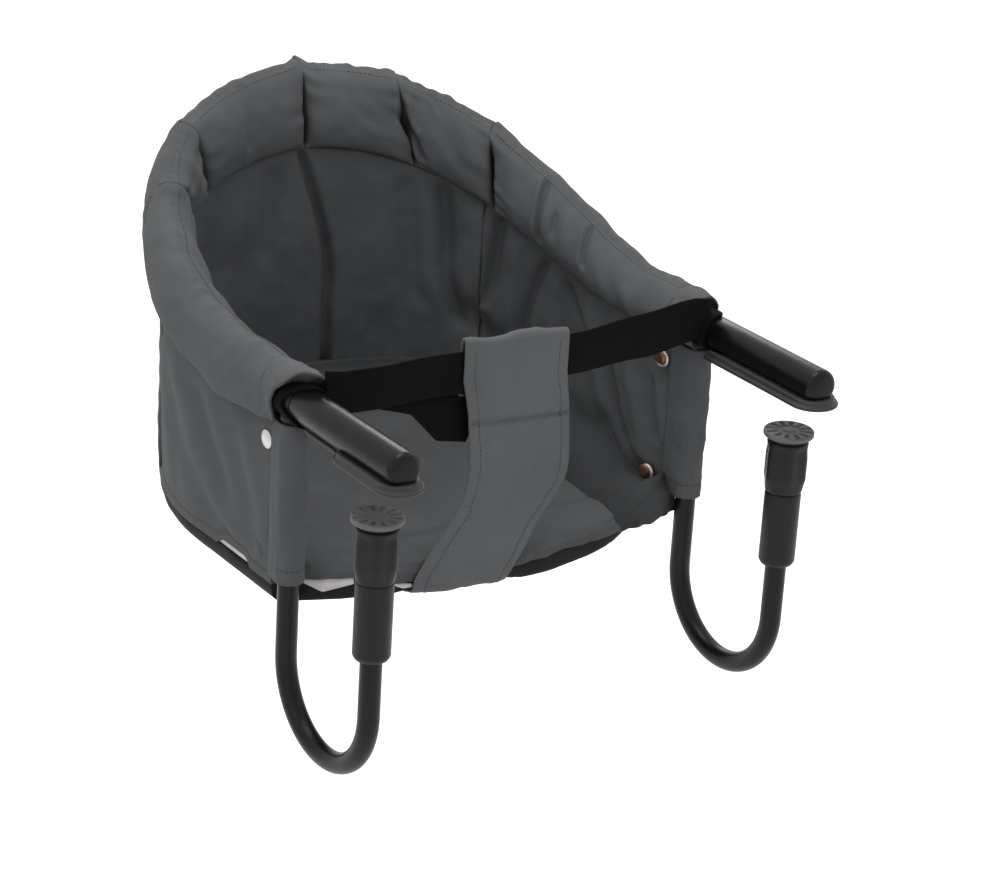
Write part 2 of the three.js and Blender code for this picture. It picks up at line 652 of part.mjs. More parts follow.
for (const [side, hand] of [[1, 'left'], [-1, 'right']]) {
  const x = side * halfSpan;
  const fy = hookFrontY;

  const sideRuns = spans[hand][2].runs;
  const wallRuns = [sideRuns[0] + gap / 2, ...sideRuns.slice(1)];
  add(`${hand}_side_panel`, loft(wallRuns.map((run) => wallRing(side, run))), 'fabric');

  // corner hood: an inverted U over the collar
  const arc = (r, rise) => Array.from({ length: hoodArcSteps + 1 }, (_, k) => {
    const a = (Math.PI * k) / hoodArcSteps;
    return [r * Math.cos(a), armAxisZ + rise * Math.sin(a)];
  });
  const hood = [
    [hoodFootOut, hoodFootZ], ...arc(hoodR, hoodRise), [-hoodFootOut, hoodFootZ],
    [-hoodFootIn, hoodFootZ], ...arc(hoodBore, hoodBore).reverse(), [hoodFootIn, hoodFootZ],
  ];
  add(`${hand}_corner_hood`, loft([hoodFrontY, bowBackY].map(
    (y) => hood.map(([dx, z]) => new THREE.Vector3(x + dx, y, z)),
  )), 'fabric');

  // leg sleeve: wrapped round the hook's rear leg and drawn back to the side panel
  const sleeve = [
    ...Array.from({ length: sleeveSides / 2 + 1 }, (_, k) => {
      const a = (2 * Math.PI * k) / sleeveSides;
      return [sleeveR * Math.cos(a), -sleeveR * Math.sin(a)];
    }),
    [-sleeveBackIn, bowBackY], [sleeveBackOut, bowBackY],
  ];
  const sleeveHole = Array.from({ length: sleeveSides }, (_, k) => {
    const a = (2 * Math.PI * k) / sleeveSides;
    return [sleeveBore * Math.cos(a), -sleeveBore * Math.sin(a)];
  });
  const level = (pts, z) => pts.map(([dx, y]) => new THREE.Vector3(side * (halfSpan + dx), y, z));
  add(`${hand}_leg_sleeve`, loft(
    [level(sleeve, sleeveHemZ), level(sleeve, sleeveTopZ)],
    [level(sleeveHole, sleeveHemZ), level(sleeveHole, sleeveTopZ)],
  ), 'fabric');

  add(`${hand}_belt_loop`, turned(closed([
    [loopInner, loopY[0]], [loopOuter, loopY[0]], [loopOuter, loopY[1]], [loopInner, loopY[1]],
  ]), coverSides, alongY(x, armAxisZ)), 'webbing');

  // arm: cover over the tube's end and the flanged sole under it
  add(`${hand}_arm_cover`, turned([
    [0, coverFill], [tubeBore, coverFill], [tubeBore, coverBackY], [coverR, coverBackY],
    ...coverProfile(0).slice(1), [0, coverNoseY],
  ], coverSides, alongY(x, armAxisZ)), 'plastic');
  const sole = toSolid(loft([
    soleRing(side, soleChamfer, 0), soleRing(side, 0, soleChamfer), soleRing(side, 0, soleLipZ),
    soleRing(side, soleStepIn, soleLipZ + gap), soleRing(side, soleTopIn, soleTopZ),
  ]));
  const room = toSolid(turned([
    [0, soleBackY + coverR], [coverR + gap, soleBackY + coverR], ...coverProfile(gap).slice(1),
    [0, coverNoseY - gap],
  ], coverSides, alongY(x, armAxisZ)));
  add(`${hand}_arm_sole`, toGeometry(sole.subtract(room)), 'rubber');

  add(`${hand}_retaining_ring`, turned(closed([
    [tubeBore, ringY[0]], [ringR, ringY[0]], [ringR, ringY[1]], [tubeBore, ringY[1]],
  ]), ringSides, alongY(x, armAxisZ)), 'plastic');

  // press studs through the side panel
  for (const [where, [y, z]] of Object.entries(studYZ)) {
    const lie = (from, out) => (g) => g.rotateZ(-Math.PI / 2 * out).translate(from, y, z);
    const [capEdge, capDome] = capShares.map((share) => share * studThick);
    const cap = [[0, 0], [studR, 0], [studR, capEdge], [studRimR, capDome], [0, studThick]];
    const [edge, rim, dish] = socketShares.map((share) => share * studThick);
    const dishR = studRimR * socketDishShare;
    const socket = [[0, 0], [studR, 0], [studR, edge], [studRimR, rim], [dishR, dish], [0, dish]];
    const capX = halfSpan + wallOuter(z) + studSeat;
    const name = `${hand}_${where}_stud`;
    add(`${name}_cap`, turned(cap, studSides, lie(side * capX, side)), 'capMetal');
    add(`${name}_socket`, turned(socket, studSides, lie(side * studInnerX, -side)), 'socketMetal');
  }

  // hook: a J of tube with a round bore in its front end
  const line = [
    [0, hookTopZ, 0],
    ...Array.from({ length: hookBendSteps + 1 }, (_, k) => {
      const a = (Math.PI * k) / hookBendSteps;
      return [-hookBendR + hookBendR * Math.cos(a), hookBendZ - hookBendR * Math.sin(a), a];
    }),
    [hookFrontY, hookEndZ, Math.PI],
  ];
  const hookRings = line.map(([y, z, a]) => Array.from({ length: hookSides }, (_, k) => {
    const b = (2 * Math.PI * k) / hookSides;
    const out = hookTubeR * Math.cos(b);
    return new THREE.Vector3(x + hookTubeR * Math.sin(b), y + out * Math.cos(a), z - out * Math.sin(a));
  }));
  const bore = toSolid(turned(column(boreR, boreFootZ, hookEndZ + gap), boreSides, upright(x, fy)));
  add(`${hand}_hook_tube`, toGeometry(toSolid(loft(hookRings)).subtract(bore)), 'steel');

  // collar that turns on the arm's tube, with the cup that holds the hook's rear leg
  const barrel = toSolid(turned(column(collarR, -collarHalf, collarHalf), turnedSides, alongY(x, armAxisZ)));
  const cup = toSolid(turned(column(cupR, cupFootZ, armAxisZ), turnedSides, upright(x, 0)));
  const reach = collarR * 2;
  const through = toSolid(turned(column(tubeBore, -reach, reach), turnedSides, alongY(x, armAxisZ)));
  const cupHole = toSolid(turned(column(cupBore, cupFootZ - gap, cupRoofZ), turnedSides, upright(x, 0)));
  add(`${hand}_hook_collar`, toGeometry(barrel.add(cup).subtract(through).subtract(cupHole)), 'plastic');

  add(`${hand}_clamp_sleeve`, turned(closed([
    [clampGripBore, clampFootZ], [clampR - clampChamfer / 2, clampFootZ], [clampR, clampFootZ + clampChamfer],
    [clampR, clampTopZ], [clampBore, clampTopZ], [clampBore, clampGripZ], [clampGripBore, clampGripZ],
  ]), turnedSides, upright(x, fy)), 'plastic');
  add(`${hand}_screw_nut`, turned(closed([
    [nutBore, nutFootZ], [nutR, nutFootZ], [nutR, nutFlangeZ[0]], [nutFlangeR, nutFlangeZ[0]],
    [nutFlangeR, nutFlangeZ[1]], [nutBore, nutFlangeZ[1]],
  ]), ringSides, upright(x, fy)), 'screw');
  add(`${hand}_screw_spindle`, turned([
    [0, screwFootZ], [screwR - gap * 2, screwFootZ], [screwR, screwFootZ + gap * 2], [screwR, screwTopZ],
    [0, screwTopZ],
  ], boreSides, upright(x, fy)), 'screw');
  add(`${hand}_grip_knob`, knobGeometry(x, fy), 'plastic');
  add(`${hand}_pad_plate`, turned([
    [0, plateHoleZ], [plateHoleR, plateHoleZ], [plateHoleR, plateZ[0]], [plateR, plateZ[0]],
    [plateR, plateZ[1]], [0, plateZ[1]],
  ], turnedSides, upright(x, fy)), 'plastic');
  add(`${hand}_clamp_pad`, padGeometry(x, fy), 'padRubber');
}

export default group;
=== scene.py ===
import bpy
import numpy as np
from mathutils import Matrix


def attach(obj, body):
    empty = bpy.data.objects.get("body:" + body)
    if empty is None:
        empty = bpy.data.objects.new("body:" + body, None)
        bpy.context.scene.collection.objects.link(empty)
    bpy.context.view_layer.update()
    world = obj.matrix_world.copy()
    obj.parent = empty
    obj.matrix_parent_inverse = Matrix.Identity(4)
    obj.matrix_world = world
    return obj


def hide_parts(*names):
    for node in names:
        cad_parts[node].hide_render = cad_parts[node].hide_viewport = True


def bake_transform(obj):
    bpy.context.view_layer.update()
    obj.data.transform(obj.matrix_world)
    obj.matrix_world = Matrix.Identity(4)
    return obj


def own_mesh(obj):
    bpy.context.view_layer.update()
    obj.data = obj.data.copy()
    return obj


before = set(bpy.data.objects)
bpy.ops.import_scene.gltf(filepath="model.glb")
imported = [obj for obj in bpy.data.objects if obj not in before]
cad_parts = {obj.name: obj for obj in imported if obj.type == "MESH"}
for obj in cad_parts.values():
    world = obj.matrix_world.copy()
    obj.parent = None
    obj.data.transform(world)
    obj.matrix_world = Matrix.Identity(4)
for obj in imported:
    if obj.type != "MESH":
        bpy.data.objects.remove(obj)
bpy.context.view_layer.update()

print("hook-on chair: frame loaded")

# Shapes below are worked out in millimetres in the frame's own axes and turned into metres on
# the way into a mesh. Z = 0 is the table top, -Y points at the table, +X is the sitter's left.
mm = 0.001
hands = ((1, "left"), (-1, "right"))

plan = {
    "halfSpan": 189, "bendY": 147, "frontY": 19.5, "gap": 0.3,
    "armZ": 16, "riseRun": 388,
    "crestFrontZ": 43, "crestBackZ": 167, "bulge": 9, "bulgeRun": 132, "bulgeReach": 66,
    "innerSeamFrontZ": 2, "innerSeamBackZ": 95, "innerSeamRun": 350,
    "outerSeamFrontZ": 0, "outerSeamBackZ": 16, "outerSeamStart": 280, "outerSeamEnd": 395,
    "wallFootZ": -138.7, "floorZ": -130, "hookY": -122,
}
bendRun = plan["halfSpan"] * np.pi / 2
frontRun = bendRun + plan["bendY"] - plan["frontY"]


# a soft step: 0 up to 0, 1 from 1 on, three t squared less two t cubed in between
def smooth(t):
    t = np.clip(t, 0, 1)
    return t * t * (3 - 2 * t)


# the value a share of the way from a to b
def between(a, b, share):
    return a + (b - a) * share


# vectors brought to length 1
def unit(vectors):
    return vectors / np.maximum(np.linalg.norm(vectors, axis=-1, keepdims=True), 1e-9)


# half a cosine wave: 1 at the back's middle, 0 once the run has reached its full length
def halfWave(run, full):
    return (1 + np.cos(np.pi * np.minimum(np.abs(run) / full, 1))) / 2


# height of the rim's crest: half a cosine wave down from the back's middle to the arms
def crestZ(run):
    return between(plan["crestFrontZ"], plan["crestBackZ"], halfWave(run, plan["riseRun"]))


# height of the seam under the rim's inner face: the same wave over a shorter run
def innerSeamZ(run):
    return between(plan["innerSeamFrontZ"], plan["innerSeamBackZ"], halfWave(run, plan["innerSeamRun"]))


# height of the seam under its outer face: level round the back, then a soft step down
def outerSeamZ(run):
    share = 1 - (np.abs(run) - plan["outerSeamStart"]) / (plan["outerSeamEnd"] - plan["outerSeamStart"])
    return between(plan["outerSeamFrontZ"], plan["outerSeamBackZ"], smooth(share))


# the plan line bulges a little at the back's two quarters: a bell curve over the run
def bulge(run):
    return plan["bulge"] * np.exp(-((np.abs(run) - plan["bulgeRun"]) / plan["bulgeReach"]) ** 2)


# a point beside the frame's plan line: run is signed, plus to the left, from
# the middle of the back; the line is an arc of halfSpan round (0, bendY),
# bulged, and then runs straight forward; off is measured outwards from it
def beside(run, off, z):
    run, off, z = np.broadcast_arrays(run, off, z)
    reach = plan["halfSpan"] + bulge(run) + off
    turn = np.minimum(np.abs(run), bendRun) / plan["halfSpan"]
    ahead = np.maximum(np.abs(run) - bendRun, 0)
    x = np.sign(run) * reach * np.sin(turn)
    y = plan["bendY"] + reach * np.cos(turn) - ahead
    return np.stack([x, y, z], -1)


# soft unevenness: a sum of plane waves of nearly one wavelength in seeded directions, about -1 to 1
def ripple(u, v, wavelength, seed, waves=9, squeeze=1.0):
    rng = np.random.default_rng(seed)
    angle = rng.uniform(0, 2 * np.pi, waves)
    length = wavelength * rng.uniform(0.7, 1.5, waves)
    phase = rng.uniform(0, 2 * np.pi, waves)
    kx = 2 * np.pi * np.cos(angle) / length
    ky = 2 * np.pi * np.sin(angle) * squeeze / length
    u, v = np.broadcast_arrays(u, v)
    total = np.sin(u[..., None] * kx + v[..., None] * ky + phase).sum(-1)
    return total / np.sqrt(waves)


# the cloth's unevenness on one piece: a long wave and a short crumple
def unevenness(piece, u, v, seed, more=1.0):
    wave = more * piece["wave"] * ripple(u, v, piece["waveLength"], seed)
    return wave + piece["crumple"] * ripple(u, v, piece["crumpleLength"], seed + 1)


# folds, each given as a line (u1, v1)-(u2, v2), a height and a width; the cloth rises
# along the line and dips a little on one side of it, and both fade out past the line's ends
def folds(u, v, lines):
    total = np.zeros(np.broadcast(u, v).shape)
    for u1, v1, u2, v2, height, width in lines:
        du, dv = u2 - u1, v2 - v1
        length = np.hypot(du, dv)
        along = ((u - u1) * du + (v - v1) * dv) / length
        across = ((u - u1) * dv - (v - v1) * du) / length
        fade = smooth((along + width) / (2 * width)) * smooth((length - along + width) / (2 * width))
        crest = np.exp(-(across / width) ** 2)
        dip = np.exp(-((across - 1.5 * width) / (0.9 * width)) ** 2)
        total = total + height * fade * (crest - 0.55 * dip)
    return total


# folds that run down a wall: each is a height, a width and the line's runs at falling heights; the cloth
# rises (or sinks, for a minus height) along the line, dips beside it, and the fold fades past its two ends
def hangingFolds(run, z, lines):
    total = np.zeros(np.broadcast(run, z).shape)
    for height, width, dip, zs, runs in lines:
        zs, runs = np.asarray(zs, float), np.asarray(runs, float)
        centre = np.interp(z, zs[::-1], runs[::-1])
        slope = (runs[-1] - runs[0]) / (zs[0] - zs[-1])
        across = (run - centre) / np.hypot(1, slope)
        fade = smooth((zs[0] + width - z) / (2 * width)) * smooth((z - zs[-1] + width) / (2 * width))
        crest = np.exp(-(across / width) ** 2)
        beyond = np.exp(-((across - 1.6 * width) / width) ** 2)
        total = total + height * fade * (crest - dip * beyond)
    return total


# weights of a Catmull-Rom curve through a number of control points, sampled at the given places
def curveWeights(count, places):
    places = np.asarray(places, float)
    low = np.clip(np.floor(places).astype(int), 0, count - 2)
    t = places - low
    basis = np.stack([
        -0.5 * t + t ** 2 - 0.5 * t ** 3,
        1 - 2.5 * t ** 2 + 1.5 * t ** 3,
        0.5 * t + 2 * t ** 2 - 1.5 * t ** 3,
        -0.5 * t ** 2 + 0.5 * t ** 3,
    ], -1)
    weights = np.zeros((len(places), count))
    rows = np.arange(len(places))
    for k in range(4):
        np.add.at(weights, (rows, np.clip(low + k - 1, 0, count - 1)), basis[:, k])
    return weights


# normals of a grid of points, from the cross product of its two differences
def gridNormals(points):
    return unit(np.cross(np.gradient(points, axis=0), np.gradient(points, axis=1)))


# one surface of a piece: a grid of points in mm whose columns join round; the rows
# join round too, or a fan closes each end to its middle, or the ends stay open
def gridPart(points, closeRows=False, capped=False, material=0):
    rows, columns = points.shape[:2]
    i, j = np.meshgrid(np.arange(rows if closeRows else rows - 1), np.arange(columns), indexing="ij")
    iNext, jNext = (i + 1) % rows, (j + 1) % columns
    quads = np.stack([i * columns + j, i * columns + jNext, iNext * columns + jNext, iNext * columns + j], -1)
    wrapped = np.concatenate([points, points[:, :1]], 1)
    across = np.cumsum(np.linalg.norm(np.diff(wrapped, axis=1), axis=-1).mean(0))
    wrapped = np.concatenate([points, points[:1]], 0) if closeRows else points
    along = np.cumsum(np.linalg.norm(np.diff(wrapped, axis=0), axis=-1).mean(1))
    uv = np.stack(np.meshgrid(np.append(0, along), np.append(0, across), indexing="ij"), -1)
    corners = [(i, j), (i, j + 1), (i + 1, j + 1), (i + 1, j)]
    quadUv = np.stack([uv[a, b] for a, b in corners], -2)
    part = {
        "points": points.reshape(-1, 3), "quads": quads.reshape(-1, 4), "quadUv": quadUv.reshape(-1, 4, 2),
        "tris": np.zeros((0, 3), int), "triUv": np.zeros((0, 3, 2)), "material": material,
    }
    for row in (0, rows - 1) if capped else ():
        ring = row * columns + np.arange(columns)
        nextRing = row * columns + (np.arange(columns) + 1) % columns
        hub = np.full(columns, len(part["points"]))
        part["points"] = np.vstack([part["points"], points[row].mean(0)])
        fan = np.stack([ring, nextRing, hub] if row else [ring, hub, nextRing], -1)
        part["tris"] = np.vstack([part["tris"], fan])
        part["triUv"] = np.vstack([part["triUv"], np.repeat(uv[row, :columns][:, None], 3, 1)])
    return turnedOut(part)


# a closed part whose volume comes out negative is turned the right way round
def turnedOut(part):
    p, q, t = part["points"], part["quads"], part["tris"]
    six = lambda a, b, c: np.einsum("ij,ij->i", p[a], np.cross(p[b], p[c])).sum()
    volume = six(q[:, 0], q[:, 1], q[:, 2]) + six(q[:, 0], q[:, 2], q[:, 3])
    if len(t):
        volume += six(t[:, 0], t[:, 1], t[:, 2])
    if volume < 0:
        part["quads"], part["quadUv"] = q[:, ::-1], part["quadUv"][:, ::-1]
        part["tris"], part["triUv"] = t[:, ::-1], part["triUv"][:, ::-1]
    return part


# a mesh of one or more parts that rides on a body and takes the place of the CAD node of the same name
def makePiece(name, parts, materials, body="frame", levels=0):
    def joined(key):
        return np.concatenate([p[key].reshape(-1, p[key].shape[-1]) for p in parts])

    mesh = bpy.data.meshes.new(name)
    counts = np.cumsum([0] + [len(p["points"]) for p in parts])
    points = joined("points") * mm
    quads = np.vstack([p["quads"] + c for p, c in zip(parts, counts)])
    tris = np.vstack([p["tris"] + c for p, c in zip(parts, counts)])
    uv = np.concatenate([joined("quadUv"), joined("triUv")]) * mm
    corners = np.concatenate([quads.ravel(), tris.ravel()]).astype(np.int32)
    sizes = np.concatenate([np.full(len(quads), 4), np.full(len(tris), 3)]).astype(np.int32)
    starts = np.concatenate([[0], np.cumsum(sizes)[:-1]]).astype(np.int32)
    slots = [np.full(len(p[kind]), p["material"]) for kind in ("quads", "tris") for p in parts]
    mesh.vertices.add(len(points))
    mesh.vertices.foreach_set("co", points.ravel())
    mesh.loops.add(len(corners))
    mesh.loops.foreach_set("vertex_index", corners)
    mesh.polygons.add(len(sizes))
    mesh.polygons.foreach_set("loop_start", starts)
    mesh.polygons.foreach_set("loop_total", sizes)
    mesh.polygons.foreach_set("material_index", np.concatenate(slots).astype(np.int32))
    mesh.polygons.foreach_set("use_smooth", np.full(len(sizes), True))
    layer = mesh.uv_layers.new(name="cloth")
    layer.data.foreach_set("uv", uv.ravel())
    mesh.update(calc_edges=True)
    mesh.validate()
    piece = bpy.data.objects.new(name, mesh)
    bpy.context.scene.collection.objects.link(piece)
    for material in materials:
        mesh.materials.append(material)
    if levels:
        rounder = piece.modifiers.new("rounder", "SUBSURF")
        rounder.levels = levels
        rounder.render_levels = levels
    if body:
        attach(piece, body)
    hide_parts(name)
    return piece


# a turned surface: a profile of (radius, height) is carried round an axis; reach scales the radius by angle
def lathe(profile, centre, axis="z", sides=48, reach=None):
    profile = np.asarray(profile, float)
    angle = np.arange(sides) * 2 * np.pi / sides
    radius = profile[:, 0][:, None] * np.ones(sides)
    if reach is not None:
        radius = radius + reach(profile[:, 1][:, None], angle[None, :], radius)
    c, s = radius * np.cos(angle), radius * np.sin(angle)
    h = np.broadcast_to(profile[:, 1][:, None], c.shape)
    lay = {"z": (c, s, h), "y": (c, h, s), "x": (h, c, s)}[axis]
    return np.stack(lay, -1) + np.asarray(centre, float)


# round the inner corners of a profile: each corner gives
# way to a short curve that keeps to the given radius
def eased(profile, radius, steps=4):
    profile = [np.asarray(p, float) for p in profile]
    out = [profile[0]]
    for before, corner, after in zip(profile, profile[1:], profile[2:]):
        a, b = before - corner, after - corner
        cut = min(radius, 0.45 * np.linalg.norm(a), 0.45 * np.linalg.norm(b))
        start, end = corner + a / np.linalg.norm(a) * cut, corner + b / np.linalg.norm(b) * cut
        t = np.linspace(0, 1, steps + 1)[:, None]
        out.extend((1 - t) ** 2 * start + 2 * t * (1 - t) * corner + t ** 2 * end)
    out.append(profile[-1])
    return np.array(out)


# stitches: small capsules of thread laid along a path, sunk half into the cloth
def stitches(path, normals, length=2.6, pitch=4.0, thick=0.42, material=1):
    def sampled(values, at):
        return np.stack([np.interp(at, run, values[:, k]) for k in range(3)], -1)

    run = np.append(0, np.cumsum(np.linalg.norm(np.diff(path, axis=0), axis=1)))
    count = max(int(run[-1] / pitch), 1)
    at = (np.arange(count) + 0.5) * run[-1] / count
    place, up = sampled(path, at), sampled(normals, at)
    along = unit(sampled(path, at + 0.5) - sampled(path, at - 0.5))
    up = unit(up - (up * along).sum(1, keepdims=True) * along)
    side = np.cross(along, up)
    ends = np.array([-0.5, -0.34, 0, 0.34, 0.5]) * length
    girth = np.array([0.3, 0.85, 1, 0.85, 0.3]) * thick
    angle = np.arange(6) * np.pi / 3
    form = np.stack([
        np.repeat(ends[:, None], 6, 1), girth[:, None] * np.cos(angle), girth[:, None] * np.sin(angle),
    ], -1)
    world = (place[:, None, None] + form[None, ..., :1] * along[:, None, None]
             + form[None, ..., 1:2] * side[:, None, None] + form[None, ..., 2:] * up[:, None, None])
    base = gridPart(form, capped=True)
    hubs = np.stack([world[:, 0].mean(1), world[:, -1].mean(1)], 1)
    points = np.concatenate([world.reshape(count, -1, 3), hubs], 1)
    shift = (np.arange(count) * points.shape[1])[:, None, None]
    return turnedOut({
        "points": points.reshape(-1, 3),
        "quads": (base["quads"][None] + shift).reshape(-1, 4),
        "tris": (base["tris"][None] + shift).reshape(-1, 3),
        "quadUv": np.tile(base["quadUv"], (count, 1, 1)), "triUv": np.tile(base["triUv"], (count, 1, 1)),
        "material": material,
    })


# Materials
def addNode(tree, kind, **settings):
    node = tree.nodes.new(kind)
    for key, value in settings.items():
        setattr(node, key, value)
    return node


def setInputs(node, values):
    for name, value in values.items():
        node.inputs[name].default_value = value


# one step of arithmetic on numbers or sockets
def mathNode(tree, operation, a, b=None):
    node = addNode(tree, "ShaderNodeMath", operation=operation)
    for socket, value in zip(node.inputs, (a, b)):
        if value is None:
            continue
        if isinstance(value, (int, float)):
            socket.default_value = value
        else:
            tree.links.new(value, socket)
    return node.outputs[0]


# an empty node group with named inputs and outputs
def newGroup(name, inputs, outputs):
    group = bpy.data.node_groups.new(name, "ShaderNodeTree")
    for socketName, kind, value in inputs:
        socket = group.interface.new_socket(socketName, in_out="INPUT", socket_type=kind)
        if value is not None:
            socket.default_value = value
    for socketName, kind in outputs:
        group.interface.new_socket(socketName, in_out="OUTPUT", socket_type=kind)
    return group, group.nodes.new("NodeGroupInput"), group.nodes.new("NodeGroupOutput")


# plain weave: warp and weft threads cross over and under in
# turn; Height is the cloth's relief, Shade a fleck mask
def weaveGroup():
    group, source, sink = newGroup("weave", [
        ("Vector", "NodeSocketVector", None), ("Thread", "NodeSocketFloat", 0.0009),
    ], [("Height", "NodeSocketFloat"), ("Shade", "NodeSocketFloat")])
    split = addNode(group, "ShaderNodeSeparateXYZ")
    group.links.new(source.outputs["Vector"], split.inputs[0])
    u = mathNode(group, "DIVIDE", split.outputs[0], source.outputs["Thread"])
    v = mathNode(group, "DIVIDE", split.outputs[1], source.outputs["Thread"])
    warp = mathNode(group, "ABSOLUTE", mathNode(group, "SINE", mathNode(group, "MULTIPLY", u, float(np.pi))))
    weft = mathNode(group, "ABSOLUTE", mathNode(group, "SINE", mathNode(group, "MULTIPLY", v, float(np.pi))))
    cells = mathNode(group, "ADD", mathNode(group, "FLOOR", u), mathNode(group, "FLOOR", v))
    over = mathNode(group, "MODULO", mathNode(group, "ABSOLUTE", cells), 2.0)
    warpShare = mathNode(group, "MULTIPLY", warp, over)
    weftShare = mathNode(group, "MULTIPLY", weft, mathNode(group, "SUBTRACT", 1.0, over))
    group.links.new(mathNode(group, "ADD", warpShare, weftShare), sink.inputs["Height"])
    fleck = addNode(group, "ShaderNodeTexNoise", noise_dimensions="3D")
    setInputs(fleck, {"Scale": 420, "Detail": 3})
    group.links.new(source.outputs["Vector"], fleck.inputs["Vector"])
    group.links.new(fleck.outputs["Fac"], sink.inputs["Shade"])
    return group


# handling: broad, soft patches where cloth or plastic has been touched and creased, from 0 to 1
def handlingGroup():
    group, source, sink = newGroup("handling", [
        ("Vector", "NodeSocketVector", None), ("Scale", "NodeSocketFloat", 16.0),
    ], [("Mask", "NodeSocketFloat"), ("Fine", "NodeSocketFloat")])
    broad = addNode(group, "ShaderNodeTexNoise", noise_dimensions="3D")
    setInputs(broad, {"Detail": 4, "Roughness": 0.55})
    group.links.new(source.outputs["Vector"], broad.inputs["Vector"])
    group.links.new(source.outputs["Scale"], broad.inputs["Scale"])
    fine = addNode(group, "ShaderNodeTexNoise", noise_dimensions="3D")
    setInputs(fine, {"Detail": 2})
    group.links.new(source.outputs["Vector"], fine.inputs["Vector"])
    group.links.new(mathNode(group, "MULTIPLY", source.outputs["Scale"], 22.0), fine.inputs["Scale"])
    spread = addNode(group, "ShaderNodeMapRange")
    setInputs(spread, {"From Min": 0.3, "From Max": 0.7})
    group.links.new(broad.outputs["Fac"], spread.inputs["Value"])
    group.links.new(spread.outputs["Result"], sink.inputs["Mask"])
    group.links.new(fine.outputs["Fac"], sink.inputs["Fine"])
    return group


weave = weaveGroup()
handling = handlingGroup()


# a colour as a screen shows it, 0 to 255, turned into the linear values of a shader
def linear(colour):
    c = np.asarray(colour, float) / 255
    return tuple(np.where(c <= 0.04045, c / 12.92, ((c + 0.055) / 1.055) ** 2.4)) + (1.0,)


# a mix of two colours, each one a fixed colour or a socket
def mixColour(tree, factor, a, b):
    node = addNode(tree, "ShaderNodeMix", data_type="RGBA")
    named = {s.identifier: s for s in node.inputs}
    if isinstance(factor, (int, float)):
        named["Factor_Float"].default_value = factor
    else:
        tree.links.new(factor, named["Factor_Float"])
    for key, value in (("A_Color", a), ("B_Color", b)):
        if isinstance(value, tuple):
            named[key].default_value = value
        else:
            tree.links.new(value, named[key])
    return {s.identifier: s for s in node.outputs}["Result_Color"]


# painted shade in the cloth's creases: the group's Mask
# is 1 in the open and falls towards 0 deep in a fold
def creaseShadeGroup():
    inputs = [("Reach", "NodeSocketFloat", 0.02)]
    group, source, sink = newGroup("crease", inputs, [("Mask", "NodeSocketFloat")])
    hollow = addNode(group, "ShaderNodeAmbientOcclusion", samples=6)
    group.links.new(source.outputs["Reach"], hollow.inputs["Distance"])
    spread = addNode(group, "ShaderNodeMapRange")
    setInputs(spread, {"From Min": 0.25, "From Max": 0.9})
    group.links.new(hollow.outputs["AO"], spread.inputs["Value"])
    group.links.new(spread.outputs["Result"], sink.inputs["Mask"])
    return group


crease = creaseShadeGroup()


# what both kinds of material share: handling patches in the
# object's own space, and a colour that varies with them
def startMaterial(name, look):
    material = bpy.data.materials.new(name)
    material.use_nodes = True
    tree = material.node_tree
    solid = addNode(tree, "ShaderNodeTexCoord")
    touched = addNode(tree, "ShaderNodeGroup", node_tree=handling)
    setInputs(touched, {"Scale": look["patches"]})
    tree.links.new(solid.outputs["Object"], touched.inputs["Vector"])
    broad = mixColour(tree, touched.outputs["Mask"], linear(look["dark"]), linear(look["light"]))
    return material, tree.nodes["Principled BSDF"], solid, touched, broad


def bumpNode(tree, strength, distance, height):
    bump = addNode(tree, "ShaderNodeBump")
    setInputs(bump, {"Strength": strength, "Distance": distance})
    tree.links.new(height, bump.inputs["Height"])
    return bump


# flecked with single threads, with painted shade between the threads and deep in a fold; the
# weave and a fine crumple are its relief
def clothMaterial(name, look):
    material, shader, _, touched, broad = startMaterial(name, look)
    tree = material.node_tree
    setInputs(shader, {"Roughness": look["roughness"], "Specular IOR Level": look["specular"],
                       "Sheen Weight": look["sheen"], "Sheen Roughness": 0.55})
    place = addNode(tree, "ShaderNodeUVMap", uv_map="cloth")
    threads = addNode(tree, "ShaderNodeGroup", node_tree=weave)
    setInputs(threads, {"Thread": look["thread"]})
    tree.links.new(place.outputs["UV"], threads.inputs["Vector"])
    fleckShare = mathNode(tree, "MULTIPLY", threads.outputs["Shade"], look["fleck"])
    flecked = mixColour(tree, fleckShare, broad, linear(look["thready"]))
    relief = mathNode(tree, "MULTIPLY", threads.outputs["Height"], look["shadow"])
    # painted shade between the threads: where the weave is low the colour goes towards the gap colour
    woven = mixColour(tree, mathNode(tree, "SUBTRACT", look["shadow"], relief), flecked, linear(look["gap"]))
    # painted shade: ambient occlusion mixes the colour towards the dark shade colour deep in folds
    unshadedShare = addNode(tree, "ShaderNodeGroup", node_tree=crease).outputs["Mask"]
    # painted shade past the flap's lapped edge: the mesh's share adds to the painted crease shade
    if look.get("lapShadePainted"):
        lappedShade = addNode(tree, "ShaderNodeAttribute", attribute_name="lappedShade")
        kept = mathNode(tree, "SUBTRACT", 1.0, lappedShade.outputs["Fac"])
        unshadedShare = mathNode(tree, "MULTIPLY", unshadedShare, kept)
    tree.links.new(mixColour(tree, unshadedShare, linear(look["creaseShadeColour"]), woven), shader.inputs["Base Color"])
    bump = bumpNode(tree, look["bump"], 0.0004, threads.outputs["Height"])
    crumple = bumpNode(tree, look["crumple"], 0.0012, touched.outputs["Fine"])
    tree.links.new(bump.outputs["Normal"], crumple.inputs["Normal"])
    tree.links.new(crumple.outputs["Normal"], shader.inputs["Normal"])
    return material


